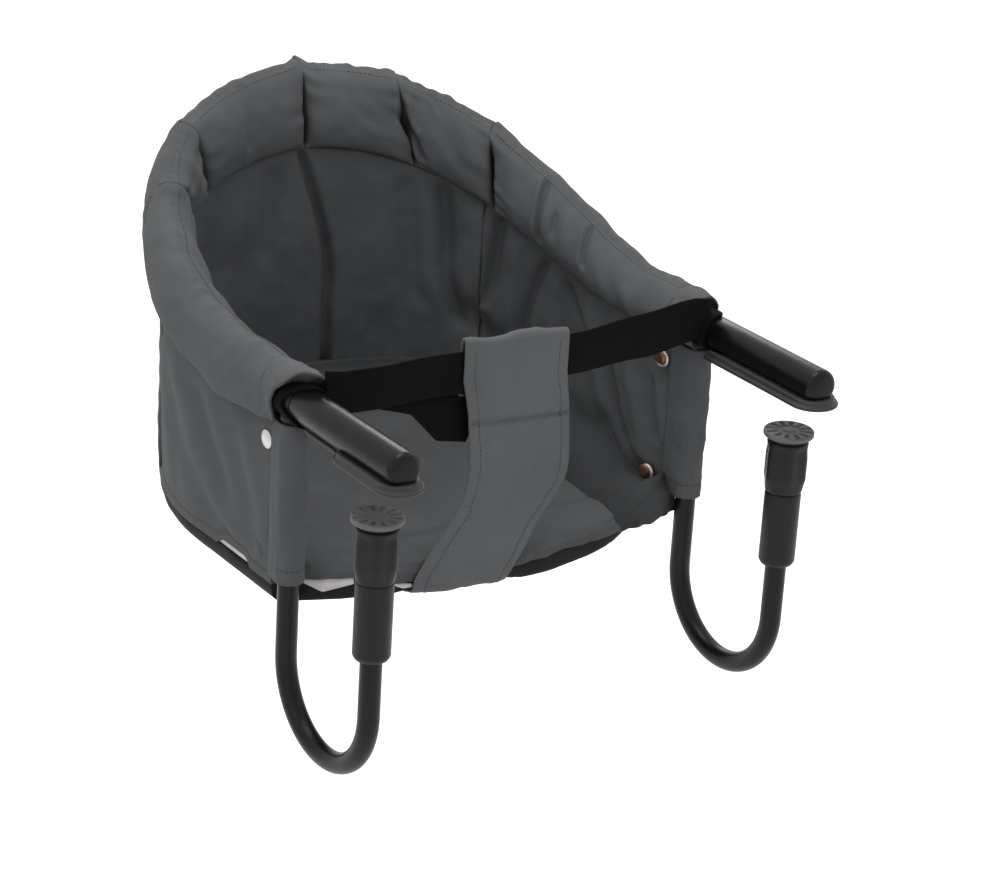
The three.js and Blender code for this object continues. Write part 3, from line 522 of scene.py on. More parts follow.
# handling also changes the shine, and a fine grain is the relief
def hardMaterial(name, look):
    material, shader, solid, touched, broad = startMaterial(name, look)
    tree = material.node_tree
    setInputs(shader, {"Metallic": look["metallic"], "Specular IOR Level": look["specular"]})
    tree.links.new(broad, shader.inputs["Base Color"])
    rough = mathNode(tree, "MULTIPLY", touched.outputs["Mask"], look["roughSpread"])
    tree.links.new(mathNode(tree, "ADD", rough, look["roughness"]), shader.inputs["Roughness"])
    grain = addNode(tree, "ShaderNodeTexNoise", noise_dimensions="3D")
    setInputs(grain, {"Scale": look["grainScale"], "Detail": 2})
    tree.links.new(solid.outputs["Object"], grain.inputs["Vector"])
    bump = bumpNode(tree, look["grain"], 0.0002, grain.outputs["Fac"])
    tree.links.new(bump.outputs["Normal"], shader.inputs["Normal"])
    return material


# what a look doesn't name is the common one's
commonCloth = {"fleck": 0.35, "shadow": 0.22, "roughness": 0.9, "specular": 0.12, "sheen": 0.06,
               "thread": 0.0009, "bump": 0.25, "crumple": 0.12, "patches": 14.0}
# in each look the deep colour is the painted shade deep in a fold, and gap the painted shade between the
# threads
clothLooks = {
    "fabric": {"dark": (86, 88, 90), "light": (97, 99, 101), "thready": (118, 120, 122), "gap": (52, 53, 54),
               "creaseShadeColour": (52, 53, 54)},
    "lining": {"dark": (76, 78, 80), "light": (90, 92, 94), "thready": (110, 112, 114), "gap": (48, 49, 50),
               "creaseShadeColour": (48, 49, 50), "roughness": 0.92, "specular": 0.1, "sheen": 0.05, "bump": 0.22,
               "crumple": 0.14, "patches": 12.0, "lapShadePainted": True},
    "strapCloth": {"dark": (98, 100, 102), "light": (109, 111, 113), "thready": (130, 132, 134),
                   "gap": (60, 61, 62), "creaseShadeColour": (56, 57, 58)},
    "webbing": {"dark": (15, 15, 15), "light": (21, 21, 21), "thready": (32, 32, 32), "gap": (7, 7, 7),
                "creaseShadeColour": (8, 8, 8), "fleck": 0.25, "shadow": 0.35, "specular": 0.06, "sheen": 0.02,
                "thread": 0.0016, "bump": 0.5, "crumple": 0.05, "patches": 20.0},
    "underTray": {"dark": (21, 22, 24), "light": (30, 31, 33), "thready": (40, 41, 42), "gap": (16, 16, 17),
                  "creaseShadeColour": (12, 12, 12), "fleck": 0.25, "shadow": 0.25, "roughness": 0.72, "specular": 0.15,
                  "sheen": 0.03, "thread": 0.0012, "bump": 0.3, "crumple": 0.3, "patches": 18.0},
    "seamThread": {"dark": (62, 64, 66), "light": (72, 74, 76), "thready": (84, 86, 88), "gap": (40, 41, 42),
                   "creaseShadeColour": (30, 30, 30), "fleck": 0.3, "shadow": 0.2, "roughness": 0.7, "specular": 0.2,
                   "sheen": 0.05, "thread": 0.0004, "bump": 0.3, "crumple": 0.05, "patches": 40.0},
}
commonHard = {"metallic": 0.0, "specular": 0.5, "roughSpread": 0.15, "grainScale": 900.0}
hardLooks = {
    "armPlastic": {"dark": (13, 13, 14), "light": (19, 19, 20), "specular": 0.2, "roughness": 0.26,
                   "roughSpread": 0.08, "grain": 0.12, "grainScale": 2600.0, "patches": 30.0},
    "knobPlastic": {"dark": (24, 24, 26), "light": (32, 32, 34), "specular": 0.22, "roughness": 0.36,
                    "roughSpread": 0.12, "grain": 0.2, "grainScale": 2200.0, "patches": 40.0},
    "soleRubber": {"dark": (40, 40, 41), "light": (54, 54, 55), "specular": 0.4, "roughness": 0.45,
                   "grain": 0.25, "grainScale": 1800.0, "patches": 45.0},
    "padRubber": {"dark": (98, 96, 99), "light": (119, 117, 120), "roughness": 0.6, "roughSpread": 0.2,
                  "grain": 0.3, "grainScale": 1500.0, "patches": 60.0},
    "paintedSteel": {"dark": (14, 14, 15), "light": (20, 20, 21), "specular": 0.2, "roughness": 0.28,
                     "roughSpread": 0.1, "grain": 0.12, "grainScale": 1200.0, "patches": 24.0},
    "screwSteel": {"dark": (150, 152, 155), "light": (176, 178, 181), "metallic": 0.9, "roughness": 0.3,
                   "grain": 0.1, "patches": 60.0},
    "capMetal": {"dark": (205, 205, 203), "light": (226, 226, 224), "metallic": 0.55, "roughness": 0.28,
                 "roughSpread": 0.12, "grain": 0.05, "patches": 120.0},
    "socketMetal": {"dark": (112, 84, 64), "light": (142, 108, 84), "metallic": 0.7, "roughness": 0.34,
                    "grain": 0.08, "patches": 150.0},
    "seatBoard": {"dark": (214, 208, 210), "light": (232, 227, 229), "specular": 0.3, "roughness": 0.65,
                  "roughSpread": 0.2, "grain": 0.4, "grainScale": 500.0, "patches": 50.0},
}
cloth = {name: clothMaterial(name, {**commonCloth, **look}) for name, look in clothLooks.items()}
hard = {name: hardMaterial(name, {**commonHard, **look}) for name, look in hardLooks.items()}
print("materials made")

# Rim: six padded sections sewn end to end round the frame tube
rim = {
    "outerBase": 5.2, "outerSwellFront": 13.5, "outerSwellBack": 18, "crestOff": 3,
    "innerBase": 13.5, "innerSwell": 8.6, "step": 1.1, "tuck": 2.4,
    "outerShares": [(0.12, 0.7), (0.42, 1.0), (0.68, 0.96), (0.89, 0.55)],
    "innerShares": [(0.88, -0.3), (0.6, 0.7), (0.3, 1.0), (0.08, 0.62)],
    "seams": {1: [0, 91, 176], -1: [0, 128, 192]}, "samples": 6, "columnStep": 2.2,
    "pinch": 8.0, "pinchReach": 8.0, "outerPinch": 3.0, "peaks": [5.5, 3.0, 3.0], "peakReach": 9,
    "dips": [2.6, 1.8, 0.8],
    "slit": 2.4, "slitReach": 1.5, "gather": 1.6, "gatherReach": 16, "gatherCount": 9,
    "wave": 0.8, "waveLength": 62, "crumple": 0.3, "crumpleLength": 20,
    "crestSeam": 6.5, "crestSeamDepth": 1.5, "crestSeamWidth": 1.5, "fringe": 0.9, "fringeLength": 15,
    "pucker": 0.5, "puckerLength": 8, "faceHeight": 78,
}
# how far each seam leans along the rim on its way down the inner face, at signed runs
leanRuns = [-424, -300, -192, -128, 0, 91, 176, 300, 424]
leanReach = [0, 6, 40, 18, 6, 20, 10, 0, 0]
# how far the rim's outer cloth hangs down over the wall, at unsigned runs
hangRuns = [0, 200, 235, 256, 300, 342, 368, 394, 424]
hangDrop = [1, 1, 4, 10, 21, 25, 18, 11, 10]
# folds on the inner face, as (signed run, height above the inner seam) pairs, a height and a width
rimFolds = [
    (238, 68, 243, 20, -4.4, 3.6), (296, 66, 309, 34, -4.2, 3.4), (98, 34, 118, 2, -4.4, 3.6),
    (121, 72, 129, 56, -2.6, 3.0), (-59, 70, -64, 16, -2.6, 6.0), (272, 62, 283, 22, 2.6, 9.0),
    (330, 52, 346, 12, 2.2, 9.0), (205, 64, 211, 20, 2.0, 9.0), (-152, 62, -140, 18, 2.2, 8.0),
    (-236, 74, -262, 36, 1.8, 9.0), (-300, 62, -322, 26, 1.6, 10.0), (34, 64, 37, 18, 1.8, 10.0),
    (152, 62, 158, 24, 2.0, 9.0), (366, 44, 384, 12, 1.6, 8.0), (258, 52, 261, 36, -2.4, 2.8),
    (108, 60, 112, 30, -2.0, 4.0), (-100, 60, -92, 20, 1.8, 9.0),
]


# the lean at a signed run, straight between the listed ones
def leanOf(run):
    return np.interp(run, leanRuns, leanReach)


# one section's skin as signed runs, offsets and heights: outer seam, outer swell, crest, inner swell, inner
# seam and the hidden underside; near a seam the cloth is drawn in and the crest is drawn up to a point
def rimLoop(side, run, start, end):
    fromSeam = np.minimum(run - start, np.where(end < frontRun - 1, end - run, 999))
    drawn = np.exp(-(fromSeam / rim["pinchReach"]) ** 1.15)
    near = np.exp(-fromSeam / rim["peakReach"])
    marks = rim["seams"][side]
    peak = near * np.interp(run, marks, rim["peaks"])
    dip = np.interp(run, marks, rim["dips"]) * (1 - near) * smooth((320 - run) / 120)
    signed = side * run
    zo = outerSeamZ(run) - np.interp(run, hangRuns, hangDrop)
    swell = between(rim["outerSwellFront"], rim["outerSwellBack"], halfWave(run, plan["riseRun"]))
    swell = swell - rim["outerPinch"] * drawn
    inSwell = rim["innerSwell"] + 2.0 * smooth((run - 200) / 60) - rim["pinch"] * drawn
    top = crestZ(run) + peak - dip
    rows = [(signed, rim["outerBase"] + 0 * run, zo)]
    rows += [(signed, rim["outerBase"] + swell * s, between(zo, top, h)) for h, s in rim["outerShares"]]
    rows += [(signed, rim["crestOff"] + 0 * run, top)]
    for h, s in rim["innerShares"] + [(0.0, 0.0)]:
        at = signed + leanOf(signed) * (1 - h)
        rows += [(at, -rim["innerBase"] - inSwell * s, between(innerSeamZ(at), crestZ(at) + peak - dip, h))]
    ctrl = np.array(rows).transpose(2, 0, 1)
    places = np.arange(0, ctrl.shape[1] - 1 + 1e-6, 1 / rim["samples"])
    skin = np.einsum("km,nmd->nkd", curveWeights(ctrl.shape[1], places), ctrl)
    foot, zi = skin[:, -1, 0], skin[:, -1, 2]
    still = 0 * run
    under = [(foot, between(-rim["innerBase"], -rim["step"], t) + still, zi) for t in (0.4, 0.8)]
    under += [(signed, -rim["step"] + still, between(zi, outerSeamZ(run), t)) for t in (0.3, 0.9)]
    under += [(signed, rim["tuck"] + still, zo + 1.0)]
    return skin, np.array(under).transpose(2, 0, 1), fromSeam


# a section's skin is laid along the plan line and each point moved along its normal by a sum:
# gathers (a sine round the section that fades away from its sewn ends), the slit at each end, the
# listed folds, the cloth's unevenness, and the seam beside the crest with its puckers
def rimPiece(side, start, end, name, seed):
    tuck = np.array([0.0, 0.6, 1.3])
    first, last = start + plan["gap"] / 2, end - plan["gap"] / 2 if end < frontRun - 1 else end + 0.4
    inside = np.linspace(first, last, int(round((end - start) / rim["columnStep"])) + 1)[2:-2]
    run = np.concatenate([first + tuck, inside, last - tuck[::-1]])
    skin, under, fromSeam = rimLoop(side, run, start, end)
    points = beside(skin[..., 0], skin[..., 1], skin[..., 2])
    arc = np.append(0, np.cumsum(np.linalg.norm(np.diff(points, axis=1), axis=-1).mean(0)))
    crestAt = 5 * rim["samples"]
    fromCrest = (arc - arc[crestAt])[None, :]
    e = fromSeam[:, None]
    gathers = np.sin(2 * np.pi * rim["gatherCount"] * arc / arc[-1] + ripple(arc, seed, 40, seed) * 2.2)
    lift = rim["gather"] * gathers[None, :] * np.exp(-e / rim["gatherReach"]) * (1 - np.exp(-e / 3))
    slitDepth = rim["slit"] * (0.25 + 0.75 * smooth(fromCrest / 14 + 0.5))
    lift = lift - slitDepth * np.exp(-(e / rim["slitReach"]) ** 1.5)
    signed = skin[..., 0]
    face = np.where(fromCrest > 0, rim["faceHeight"] - fromCrest, 200)
    lift = lift + folds(signed, face, rimFolds)
    lift = lift + unevenness(rim, signed, fromCrest, seed + 1)
    fringe = rim["fringe"] * ripple(signed, 0 * fromCrest, rim["fringeLength"], seed + 3)
    lift = lift + fringe * np.exp(-(fromCrest / 6) ** 2)
    offSeam = fromCrest - rim["crestSeam"] * (0.45 + 0.55 * smooth(e / 14))
    lift = lift - rim["crestSeamDepth"] * np.exp(-(offSeam / rim["crestSeamWidth"]) ** 2)
    pucker = np.sin(2 * np.pi * signed / rim["puckerLength"] + ripple(signed, 0, 30, seed + 4))
    lift = lift + rim["pucker"] * pucker * np.exp(-(offSeam / 4) ** 2)
    k = np.arange(skin.shape[1])
    hold = smooth(k / 3) * smooth((skin.shape[1] - 1 - k) / 3)
    points = points - gridNormals(points) * side * (lift * hold[None, :])[..., None]
    loop = np.concatenate([points, beside(under[..., 0], under[..., 1], under[..., 2])], 1)
    part = gridPart(loop, capped=True)
    row = crestAt + int(round((rim["crestSeam"] + 2.2) / (arc[crestAt + 1] - arc[crestAt])))
    line, out = points[3:-3, row], points[3:-3, row] - points[3:-3, row + 14]
    thread = stitches(line, out, pitch=3.6, length=2.3, thick=0.3)
    piece = makePiece(name, [part, thread], [cloth["fabric"], cloth["seamThread"]], levels=1)
    return piece


for side, hand in hands:
    marks = rim["seams"][side] + [frontRun]
    for k, label in enumerate(("back", "quarter", "side")):
        rimPiece(side, marks[k], marks[k + 1], f"rim_{label}_{hand}", 11 + 5 * k + (60 if side > 0 else 0))
print("rim sewn")

# Fabric walls: back panel and side panels, outer cloth and lining in one closed shell
wall = {
    "topOff": 4.7, "midOff": 4.1, "footOff": 3.1, "midZ": -70, "innerOff": 11, "step": 1.1, "stepEase": 4,
    "columnStep": 2.6, "outerRows": 60, "innerRows": 84,
    "wave": 0.8, "waveLength": 72, "crumple": 0.25, "crumpleLength": 24,
    "hemUp": 9, "hemDepth": 0.7, "hemOff": 1.9, "hemZ": -143.9, "slitZ": -137.4,
    "slitFrom": -336, "slitTo": -392,
}
# outer folds as (height, width, dip share, falling heights, signed runs)
outerFolds = [
    (4.6, 17, 0.3, [-16, -43, -82, -110, -128], [-262, -282, -310, -344, -384]),
    (2.8, 17, 0.4, [-22, -72, -104], [-322, -356, -376]),
    (3.0, 13, 0.5, [-52, -90, -128], [-392, -408, -414]),
    (2.4, 18, 0.3, [-8, -60, -124], [-224, -234, -258]), (-2.4, 10, 0.2, [-24, -60, -96], [-298, -328, -358]),
    (2.4, 13, 0.4, [-30, -70], [-378, -398]), (2.0, 12, 0.4, [-96, -128], [-276, -296]),
    (3.2, 17, 0.4, [0, -60, -124], [262, 284, 316]), (3.0, 18, 0.4, [-16, -112], [322, 372]),
    (2.8, 18, 0.3, [4, -124], [112, 88]), (2.8, 18, 0.3, [6, -118], [-60, -34]),
    (2.8, 19, 0.3, [0, -120], [-150, -176]), (2.6, 17, 0.3, [-8, -126], [22, 44]),
    (2.8, 18, 0.3, [0, -124], [204, 194]), (2.4, 15, 0.3, [-14, -120], [392, 410]),
]
# inner folds the same way; the sunk ones are the dark bands of the lining
innerFolds = [
    (-7.5, 4.6, 0.15, [108, 90, 61, 27, -5, -30, -54, -112], [0, 4, 14, 26, 34, 36, 34, 36]),
    (-8.0, 7.5, 0.15, [56, 7, -17, -42, -68], [136, 142, 142, 148, 158]),
    (5.0, 13, 0.2, [44, 10, -30, -56], [166, 170, 174, 180]),
    (-7.0, 10, 0.1, [-48, -80], [168, 190]),
    (-6.5, 6.0, 0.15, [44, 17, -22, -46], [193, 190, 186, 178]),
    (4.6, 10, 0.3, [24, -20, -60], [213, 208, 204]),
    (-6.5, 6.0, 0.15, [10, -18, -50, -74], [243, 232, 224, 222]),
    (4.6, 10, 0.3, [4, -40, -80], [259, 256, 262]),
    (-6.0, 6.0, 0.15, [-2, -18, -34, -60], [271, 286, 304, 318]),
    (4.2, 10, 0.3, [-8, -50, -96], [307, 320, 340]),
    (-5.5, 6, 0.4, [-50, -84, -112], [336, 352, 372]), (4.0, 10, 0.3, [-34, -80, -120], [362, 382, 398]),
    (-4.4, 6, 0.4, [-44, -96], [398, 410]), (-4.0, 10, 0.3, [80, 35, 0], [-25, -28, -34]),
    (3.0, 15, 0.3, [70, 0, -60], [78, 84, 90]), (-3.2, 9, 0.3, [60, 0, -50], [104, 110, 118]),
    (3.0, 13, 0.4, [66, -40], [-66, -84]), (-2.8, 11, 0.3, [50, -70], [-104, -120]),
    (3.0, 13, 0.4, [50, -90], [-168, -190]), (3.0, 13, 0.4, [16, -104], [-250, -280]),
    (3.0, 12, 0.4, [-6, -110], [-322, -358]), (2.6, 11, 0.4, [-14, -100], [-388, -406]),
]


# how far the wall's outer face stands off the plan line at a height, seamZ being the height of its top
def wallOff(z, seamZ):
    foot, mid = plan["wallFootZ"], wall["midZ"]
    low = between(wall["footOff"], wall["midOff"], (z - foot) / (mid - foot))
    return np.where(z < mid, low, between(wall["midOff"], wall["topOff"], (z - mid) / (seamZ - mid)))


# a wall is a loop of offsets and heights carried along its run: up the outer face, over a step to the
# inner seam, down the lining and back under the hem; the folds on both faces fade out at their edges
def wallPiece(run, name, seed):
    foot = plan["wallFootZ"]
    zo, zi = outerSeamZ(run) - plan["gap"], innerSeamZ(run) - plan["gap"]
    lean = np.clip((zi - zo) / wall["stepEase"], -1, 1)
    step = -wall["step"] - plan["gap"] * lean
    lifted = smooth((run - wall["slitTo"]) / 9) * smooth((wall["slitFrom"] - run) / 12)
    hemZ = between(wall["hemZ"], wall["slitZ"], lifted)
    hemZ = hemZ + 0.35 * ripple(run, 0 * run, 50, seed + 7) * (1 - lifted)
    t = np.linspace(0, 1, wall["outerRows"])[None, :]
    z = between(hemZ[:, None], zo[:, None], t)
    off = wallOff(z, zo[:, None]) + 0.9 * smooth((foot + 4 - z) / 6)
    edge = smooth((z - hemZ[:, None]) / 9) * smooth((zo[:, None] - z) / 14)
    loose = hangingFolds(run[:, None], z, outerFolds) + unevenness(wall, run[:, None], z, seed)
    hem = -wall["hemDepth"] * np.exp(-((z - hemZ[:, None] - wall["hemUp"]) / 1.2) ** 2)
    outer = np.stack([off + loose * edge + hem, z], -1)
    ti = np.linspace(1, 0, wall["innerRows"])[None, :]
    zIn = between(foot, zi[:, None], ti)
    edge = smooth((zIn - foot) / 26) * smooth((zi[:, None] - zIn) / 7)
    loose = hangingFolds(run[:, None], zIn, innerFolds) + unevenness(wall, run[:, None], zIn, seed + 2, 1.3)
    inner = np.stack([-wall["innerOff"] - loose * edge, zIn], -1)
    top = np.stack([np.stack([step, between(zo, zi, s)], -1) for s in (0.0, 0.5, 1.0)], 1)
    bottom = np.stack([
        np.stack([-wall["innerOff"] * 0.4 + 0 * run, foot + 0 * run], -1),
        np.stack([wall["hemOff"] + 0 * run, foot + 0 * run], -1),
        np.stack([wall["hemOff"] + 0 * run, hemZ + 0.1], -1),
    ], 1)
    loop = np.concatenate([outer, top, inner, bottom], 1)
    points = beside(run[:, None], loop[..., 0], loop[..., 1])
    part = gridPart(points, capped=True)
    hemRow = int(np.argmin(np.abs(outer[0, :, 1] - hemZ[0] - wall["hemUp"])))
    out = beside(run, 1, 0 * run) - beside(run, 0, 0 * run)
    thread = stitches(points[2:-2, hemRow], out[2:-2], pitch=4.2, length=2.8, thick=0.36)
    piece = makePiece(name, [part, thread], [cloth["fabric"], cloth["seamThread"]])
    return piece


marks = {side: rim["seams"][side][2] for side, hand in hands}
columns = int((marks[1] + marks[-1]) / wall["columnStep"])
wallPiece(np.linspace(-marks[-1] + plan["gap"] / 2, marks[1] - plan["gap"] / 2, columns), "back_panel", 301)
for side, hand in hands:
    count = int((frontRun - marks[side]) / wall["columnStep"])
    run = side * np.linspace(marks[side] + plan["gap"] / 2, frontRun + plan["gap"], count)
    wallPiece(run, f"{hand}_side_panel", 311 if side > 0 else 321)
print("walls hung")

# Seat liner: floor with a cove up to the walls, and the soft bow in front of it
liner = {
    "off": 12.2, "tuck": 3.5, "bottomZ": -138.7, "coveRise": 27, "coveWidth": 58,
    "coveStartY": 62, "coveFullY": 110, "frontY": 20, "rows": 110, "columns": 120,
    "wave": 0.8, "waveLength": 60, "crumple": 0.25, "crumpleLength": 22, "crown": 2.2,
}
bow = {
    "radius": 358, "frontY": -35, "trayHalf": 186.5, "linerHalf": 176.4, "backY": 19.2, "end": 1,
    "topZ": -127,
    "hemX": [-176, -139, -98, -96, -14, 47, 108, 122, 153, 166, 176],
    "hemZ": [-138.7, -138.6, -145, -145, -144, -140, -143, -145, -152, -149.5, -150.5],
    "cornerX": 150, "cornerWide": 9, "slope": 9, "slopeStart": 98, "creaseX": 103, "creaseLean": 0.077,
    "creaseDepth": 7.2, "creaseLip": 1.6, "creaseSpread": 66, "creaseFall": 0.5, "creaseShade": 0.85,
}
# folds as (x1, y1, x2, y2, height, width)
floorFolds = [
    (60, 40, 120, 120, 1.2, 9), (-40, 60, -110, 150, 1.1, 10), (20, 110, 70, 200, 1.0, 9),
    (-90, 40, -60, 110, 1.0, 8), (120, 24, 168, 66, -2.4, 5), (112, 52, 150, 96, -2.2, 6),
    (134, 22, 172, 40, 2.0, 7), (-120, 60, -150, 120, 1.2, 8),
]
bowFolds = [
    (128, 34, 118, -40, -1.6, 6), (60, 40, 30, -50, 1.6, 8), (-80, 40, -60, -50, 1.5, 8),
    (140, 50, 172, -20, 2.0, 7), (-20, 30, -6, -50, -1.6, 6), (-130, 30, -96, -40, 1.6, 8),
]


# the cove leaves the wall upright and lies flat on the floor: a
# quarter of an ellipse over the distance from the wall
def coveHeight(edge, y):
    q = 1 - np.clip(edge / liner["coveWidth"], 0, 1)
    full = smooth((y - liner["coveStartY"]) / (liner["coveFullY"] - liner["coveStartY"]))
    return liner["coveRise"] * full * (1 - np.sqrt(np.maximum(1 - q ** 2.2, 0)))


# at the left front corner the lining is drawn straight from the wall down to a crease in the floor
def cornerSlope(x, y):
    share = np.clip((x - bow["slopeStart"]) / (bow["linerHalf"] - bow["slopeStart"]), 0, 1)
    return bow["slope"] * share * smooth((34 - y) / 16)


# how far a point lies to the left of the front flap's lapped edge, which runs nearly straight back
def pastEdge(x, y):
    return x - bow["creaseX"] - bow["creaseLean"] * y


# at the flap's edge the lining drops from a small lip and then climbs slowly towards the wall
def lappedEdge(x, y):
    past = pastEdge(x, y)
    drop = bow["creaseDepth"] * smooth(past / 3) * (1 - smooth((past - 3) / bow["creaseSpread"]))
    lip = bow["creaseLip"] * np.exp(np.minimum(past, 0) / 9) * (1 - smooth(past / 3))
    return (lip - drop) * smooth((104 - y) / 40)


# past the lapped edge the lining gets painted shade: a share from 0
# to 1, written to the mesh for the lining's material
def paintLappedShade(piece):
    mesh = piece.data
    at = np.empty(len(mesh.vertices) * 3, np.float32)
    mesh.vertices.foreach_get("co", at)
    x, y, z = at.reshape(-1, 3).T / mm
    past = pastEdge(x, y) - bow["creaseFall"] * np.maximum(plan["floorZ"] - z, 0) * smooth((-8 - y) / 6)
    share = bow["creaseShade"] * smooth(past / 2.5) * (1 - 0.5 * smooth((past - 10) / 50))
    share = share * smooth((175 - y) / 40)
    layer = mesh.attributes.new("lappedShade", "FLOAT", "POINT")
    layer.data.foreach_set("value", share.astype(np.float32))


# the floor is laid out in rings that shrink towards a point
# on its middle line; the outermost follows the wall
def linerPiece():
    n, m = liner["columns"], liner["rows"]
    run = np.linspace(frontRun - 0.6, 0.6 - frontRun, 2 * n)
    outline = beside(run, -liner["off"], 0 * run)[:, :2]
    frontX = np.linspace(outline[-1, 0], outline[0, 0], n + 2)[1:-1]
    outline = np.vstack([outline, np.column_stack([frontX, np.full(n, liner["frontY"])])])
    inward = np.where(np.arange(len(outline)) < 2 * n, 1.0, 0.0)
    middle = np.array([0.0, 120.0])
    share = (1 - np.linspace(0, 1, m) ** 1.5)[:, None, None]
    flat = middle + (outline - middle) * np.maximum(share, 0.004)
    x, y = flat[..., 0], flat[..., 1]
    straight = y < plan["bendY"]
    turn = np.arctan2(np.abs(x), np.maximum(y - plan["bendY"], 1e-6))
    turnRun = np.minimum(turn * plan["halfSpan"], bendRun)
    reach = plan["halfSpan"] - liner["off"] + bulge(np.where(straight, bendRun + plan["bendY"] - y, turnRun))
    toMiddle = np.where(straight, np.abs(x), np.hypot(x, np.maximum(y - plan["bendY"], 0)))
    edge = np.maximum(reach - toMiddle, 0)
    inside = smooth(edge / 14) * smooth((y - liner["frontY"]) / 8)
    loose = liner["crown"] * smooth(edge / 90) + folds(x, y, floorFolds) + unevenness(liner, x, y, 401)
    z = plan["floorZ"] + np.maximum(coveHeight(edge, y), cornerSlope(x, y)) + inside * loose
    z = z + lappedEdge(x, y) * smooth(edge / 14)
    top = np.stack([x, y, z], -1)
    lip = top[0].copy()
    lip[:, :2] += unit(outline - middle) * (liner["tuck"] * inward)[:, None]
    lip[:, 2] += 1.5 * inward
    foot = np.column_stack([outline, np.full(len(outline), liner["bottomZ"])])
    belowIn = np.column_stack([middle + (outline - middle) * 0.5, np.full(len(outline), liner["bottomZ"])])
    rings = np.concatenate([belowIn[None], foot[None], lip[None], top], 0)
    part = gridPart(rings, capped=True)
    piece = makePiece("seat_liner", [part], [cloth["lining"]])
    paintLappedShade(piece)


linerPiece()


# y of the seat's curved front line: an arc of the bow's radius, cut off at its two ends
def bowFront(x):
    y = bow["frontY"] + bow["radius"] - np.sqrt(bow["radius"] ** 2 - x ** 2)
    return np.minimum(y, bow["backY"] - bow["end"])


# the bow is padded cloth: from the floor's front line it rounds over forwards
# and its apron hangs over the board and the tray's lip, lower towards the left
def bowPiece():
    x = np.linspace(-bow["linerHalf"], bow["linerHalf"], 190)[:, None]
    front = bowFront(x)
    sag = 0.7 * ripple(x, 0 * x, 46, 411) + 0.4 * ripple(x, 0 * x, 18, 412)
    q = np.linspace(0, 1, 34)[None, :]
    back = bow["backY"]
    y = between(back, front + 3, q)
    side = cornerSlope(x, y) + lappedEdge(x, y)
    loose = 0.6 * sag + folds(x + 0 * q, y, bowFolds) + 0.5 * ripple(x, y, 30, 413)
    topZ = between(plan["floorZ"] + 0.4, bow["topZ"], np.sin(np.pi * q) ** 0.8) + side
    top = np.stack([x + 0 * q, y, topZ + loose * np.sin(np.pi * q)], -1)
    hem = np.interp(x[:, 0], bow["hemX"], bow["hemZ"])[:, None] + 0.5 * sag
    turn = np.linspace(0.1, 1, 16)[None, :]
    noseY = front + 3 - 3 * np.sin(np.minimum(turn * 2.2, 1) * np.pi / 2) - 2.6 * smooth((turn - 0.2) / 0.4)
    noseZ = between(topZ[:, -1:], hem, turn ** 1.2)
    ruck = 0.9 * ripple(x, noseZ, 26, 414) + 0.5 * ripple(x, noseZ, 11, 415)
    wide = x + bow["cornerWide"] * smooth((x - bow["cornerX"]) / 26)
    noseX = between(x, wide, smooth((-124 - noseZ) / 8))
    nose = np.stack([noseX, noseY - ruck * smooth(turn * 2) * 0.7, noseZ], -1)
    lipZ = np.concatenate([hem + 0.2, 0.5 * (hem + plan["wallFootZ"]), 0 * x + plan["wallFootZ"] + 0.2], 1)
    lip = np.stack([wide + 0 * lipZ, front + np.array([[-1.4, -1.3, -0.7]]), lipZ], -1)
    underY = between(front + 8, back, np.linspace(0, 1, 4)[None, :])
    under = np.stack([x + 0 * underY, underY, plan["wallFootZ"] + 0 * underY], -1)
    part = gridPart(np.concatenate([top, nose, lip, under], 1), capped=True)
    piece = makePiece("seat_front_bow", [part], [cloth["lining"]])
    paintLappedShade(piece)


bowPiece()

# Black base tray under the seat, in two parts: behind the front line and in front of it; levels are
# pairs of an offset from the plan or front line and a height, from the bottom's inside up to the top's
tray = {
    "bottomZ": -160, "topZ": -143, "columns": 220,
    "levels": [(-19, -160), (-5, -160), (-2.4, -159.3), (-0.2, -157.4), (1.5, -154.8), (2.5, -151.6),
               (2.9, -148.6), (2.9, -145.2), (2.4, -143.6), (1.6, -143), (-14, -143)],
    "frontLevels": [(14, -160), (6, -160), (3.2, -159.2), (1.6, -157.4), (0.6, -155), (0.1, -151.6),
                    (0, -147), (0.1, -142), (0.7, -139.5), (1.6, -139), (12, -139)],
    "awayX": [-190, 95, 125, 190], "away": [0, 0, 5, 5],
    "dropX": [-190, -150, -104, -94, -20, 4, 30, 95, 125, 190],
    "drop": [160, 158, 154, 151.5, 151.5, 157, 158, 153, 148, 146],
    "slats": [([-176, -158, -136], [-138, -138.4, -138.2], [-139.6, -150, -143.6]),
              ([-106, -99, -92], [-145, -145.6, -146.5], [-147, -149.8, -149.2])],
}


# the plan line set outwards by each level's offset, one ring for a level, a little slack in it
def basePiece():
    run = np.linspace(frontRun, -frontRun, tray["columns"])
    rings = []
    for off, z in tray["levels"]:
        puff = (0.5 * ripple(run, 0 * run + z, 34, 421) - 0.3) * smooth((z - tray["bottomZ"]) / 4)
        slack = (0.8 * ripple(run, 0 * run, 44, 422) - 0.4) * smooth((z + 154) / 5)
        outline = beside(run, off + puff, 0 * run)[:, :2]
        rings.append(np.column_stack([outline, np.minimum(z + slack * (z > -153), tray["topZ"])]))
    part = gridPart(np.array(rings), capped=True)
    makePiece("seat_base_tray", [part], [cloth["underTray"]])


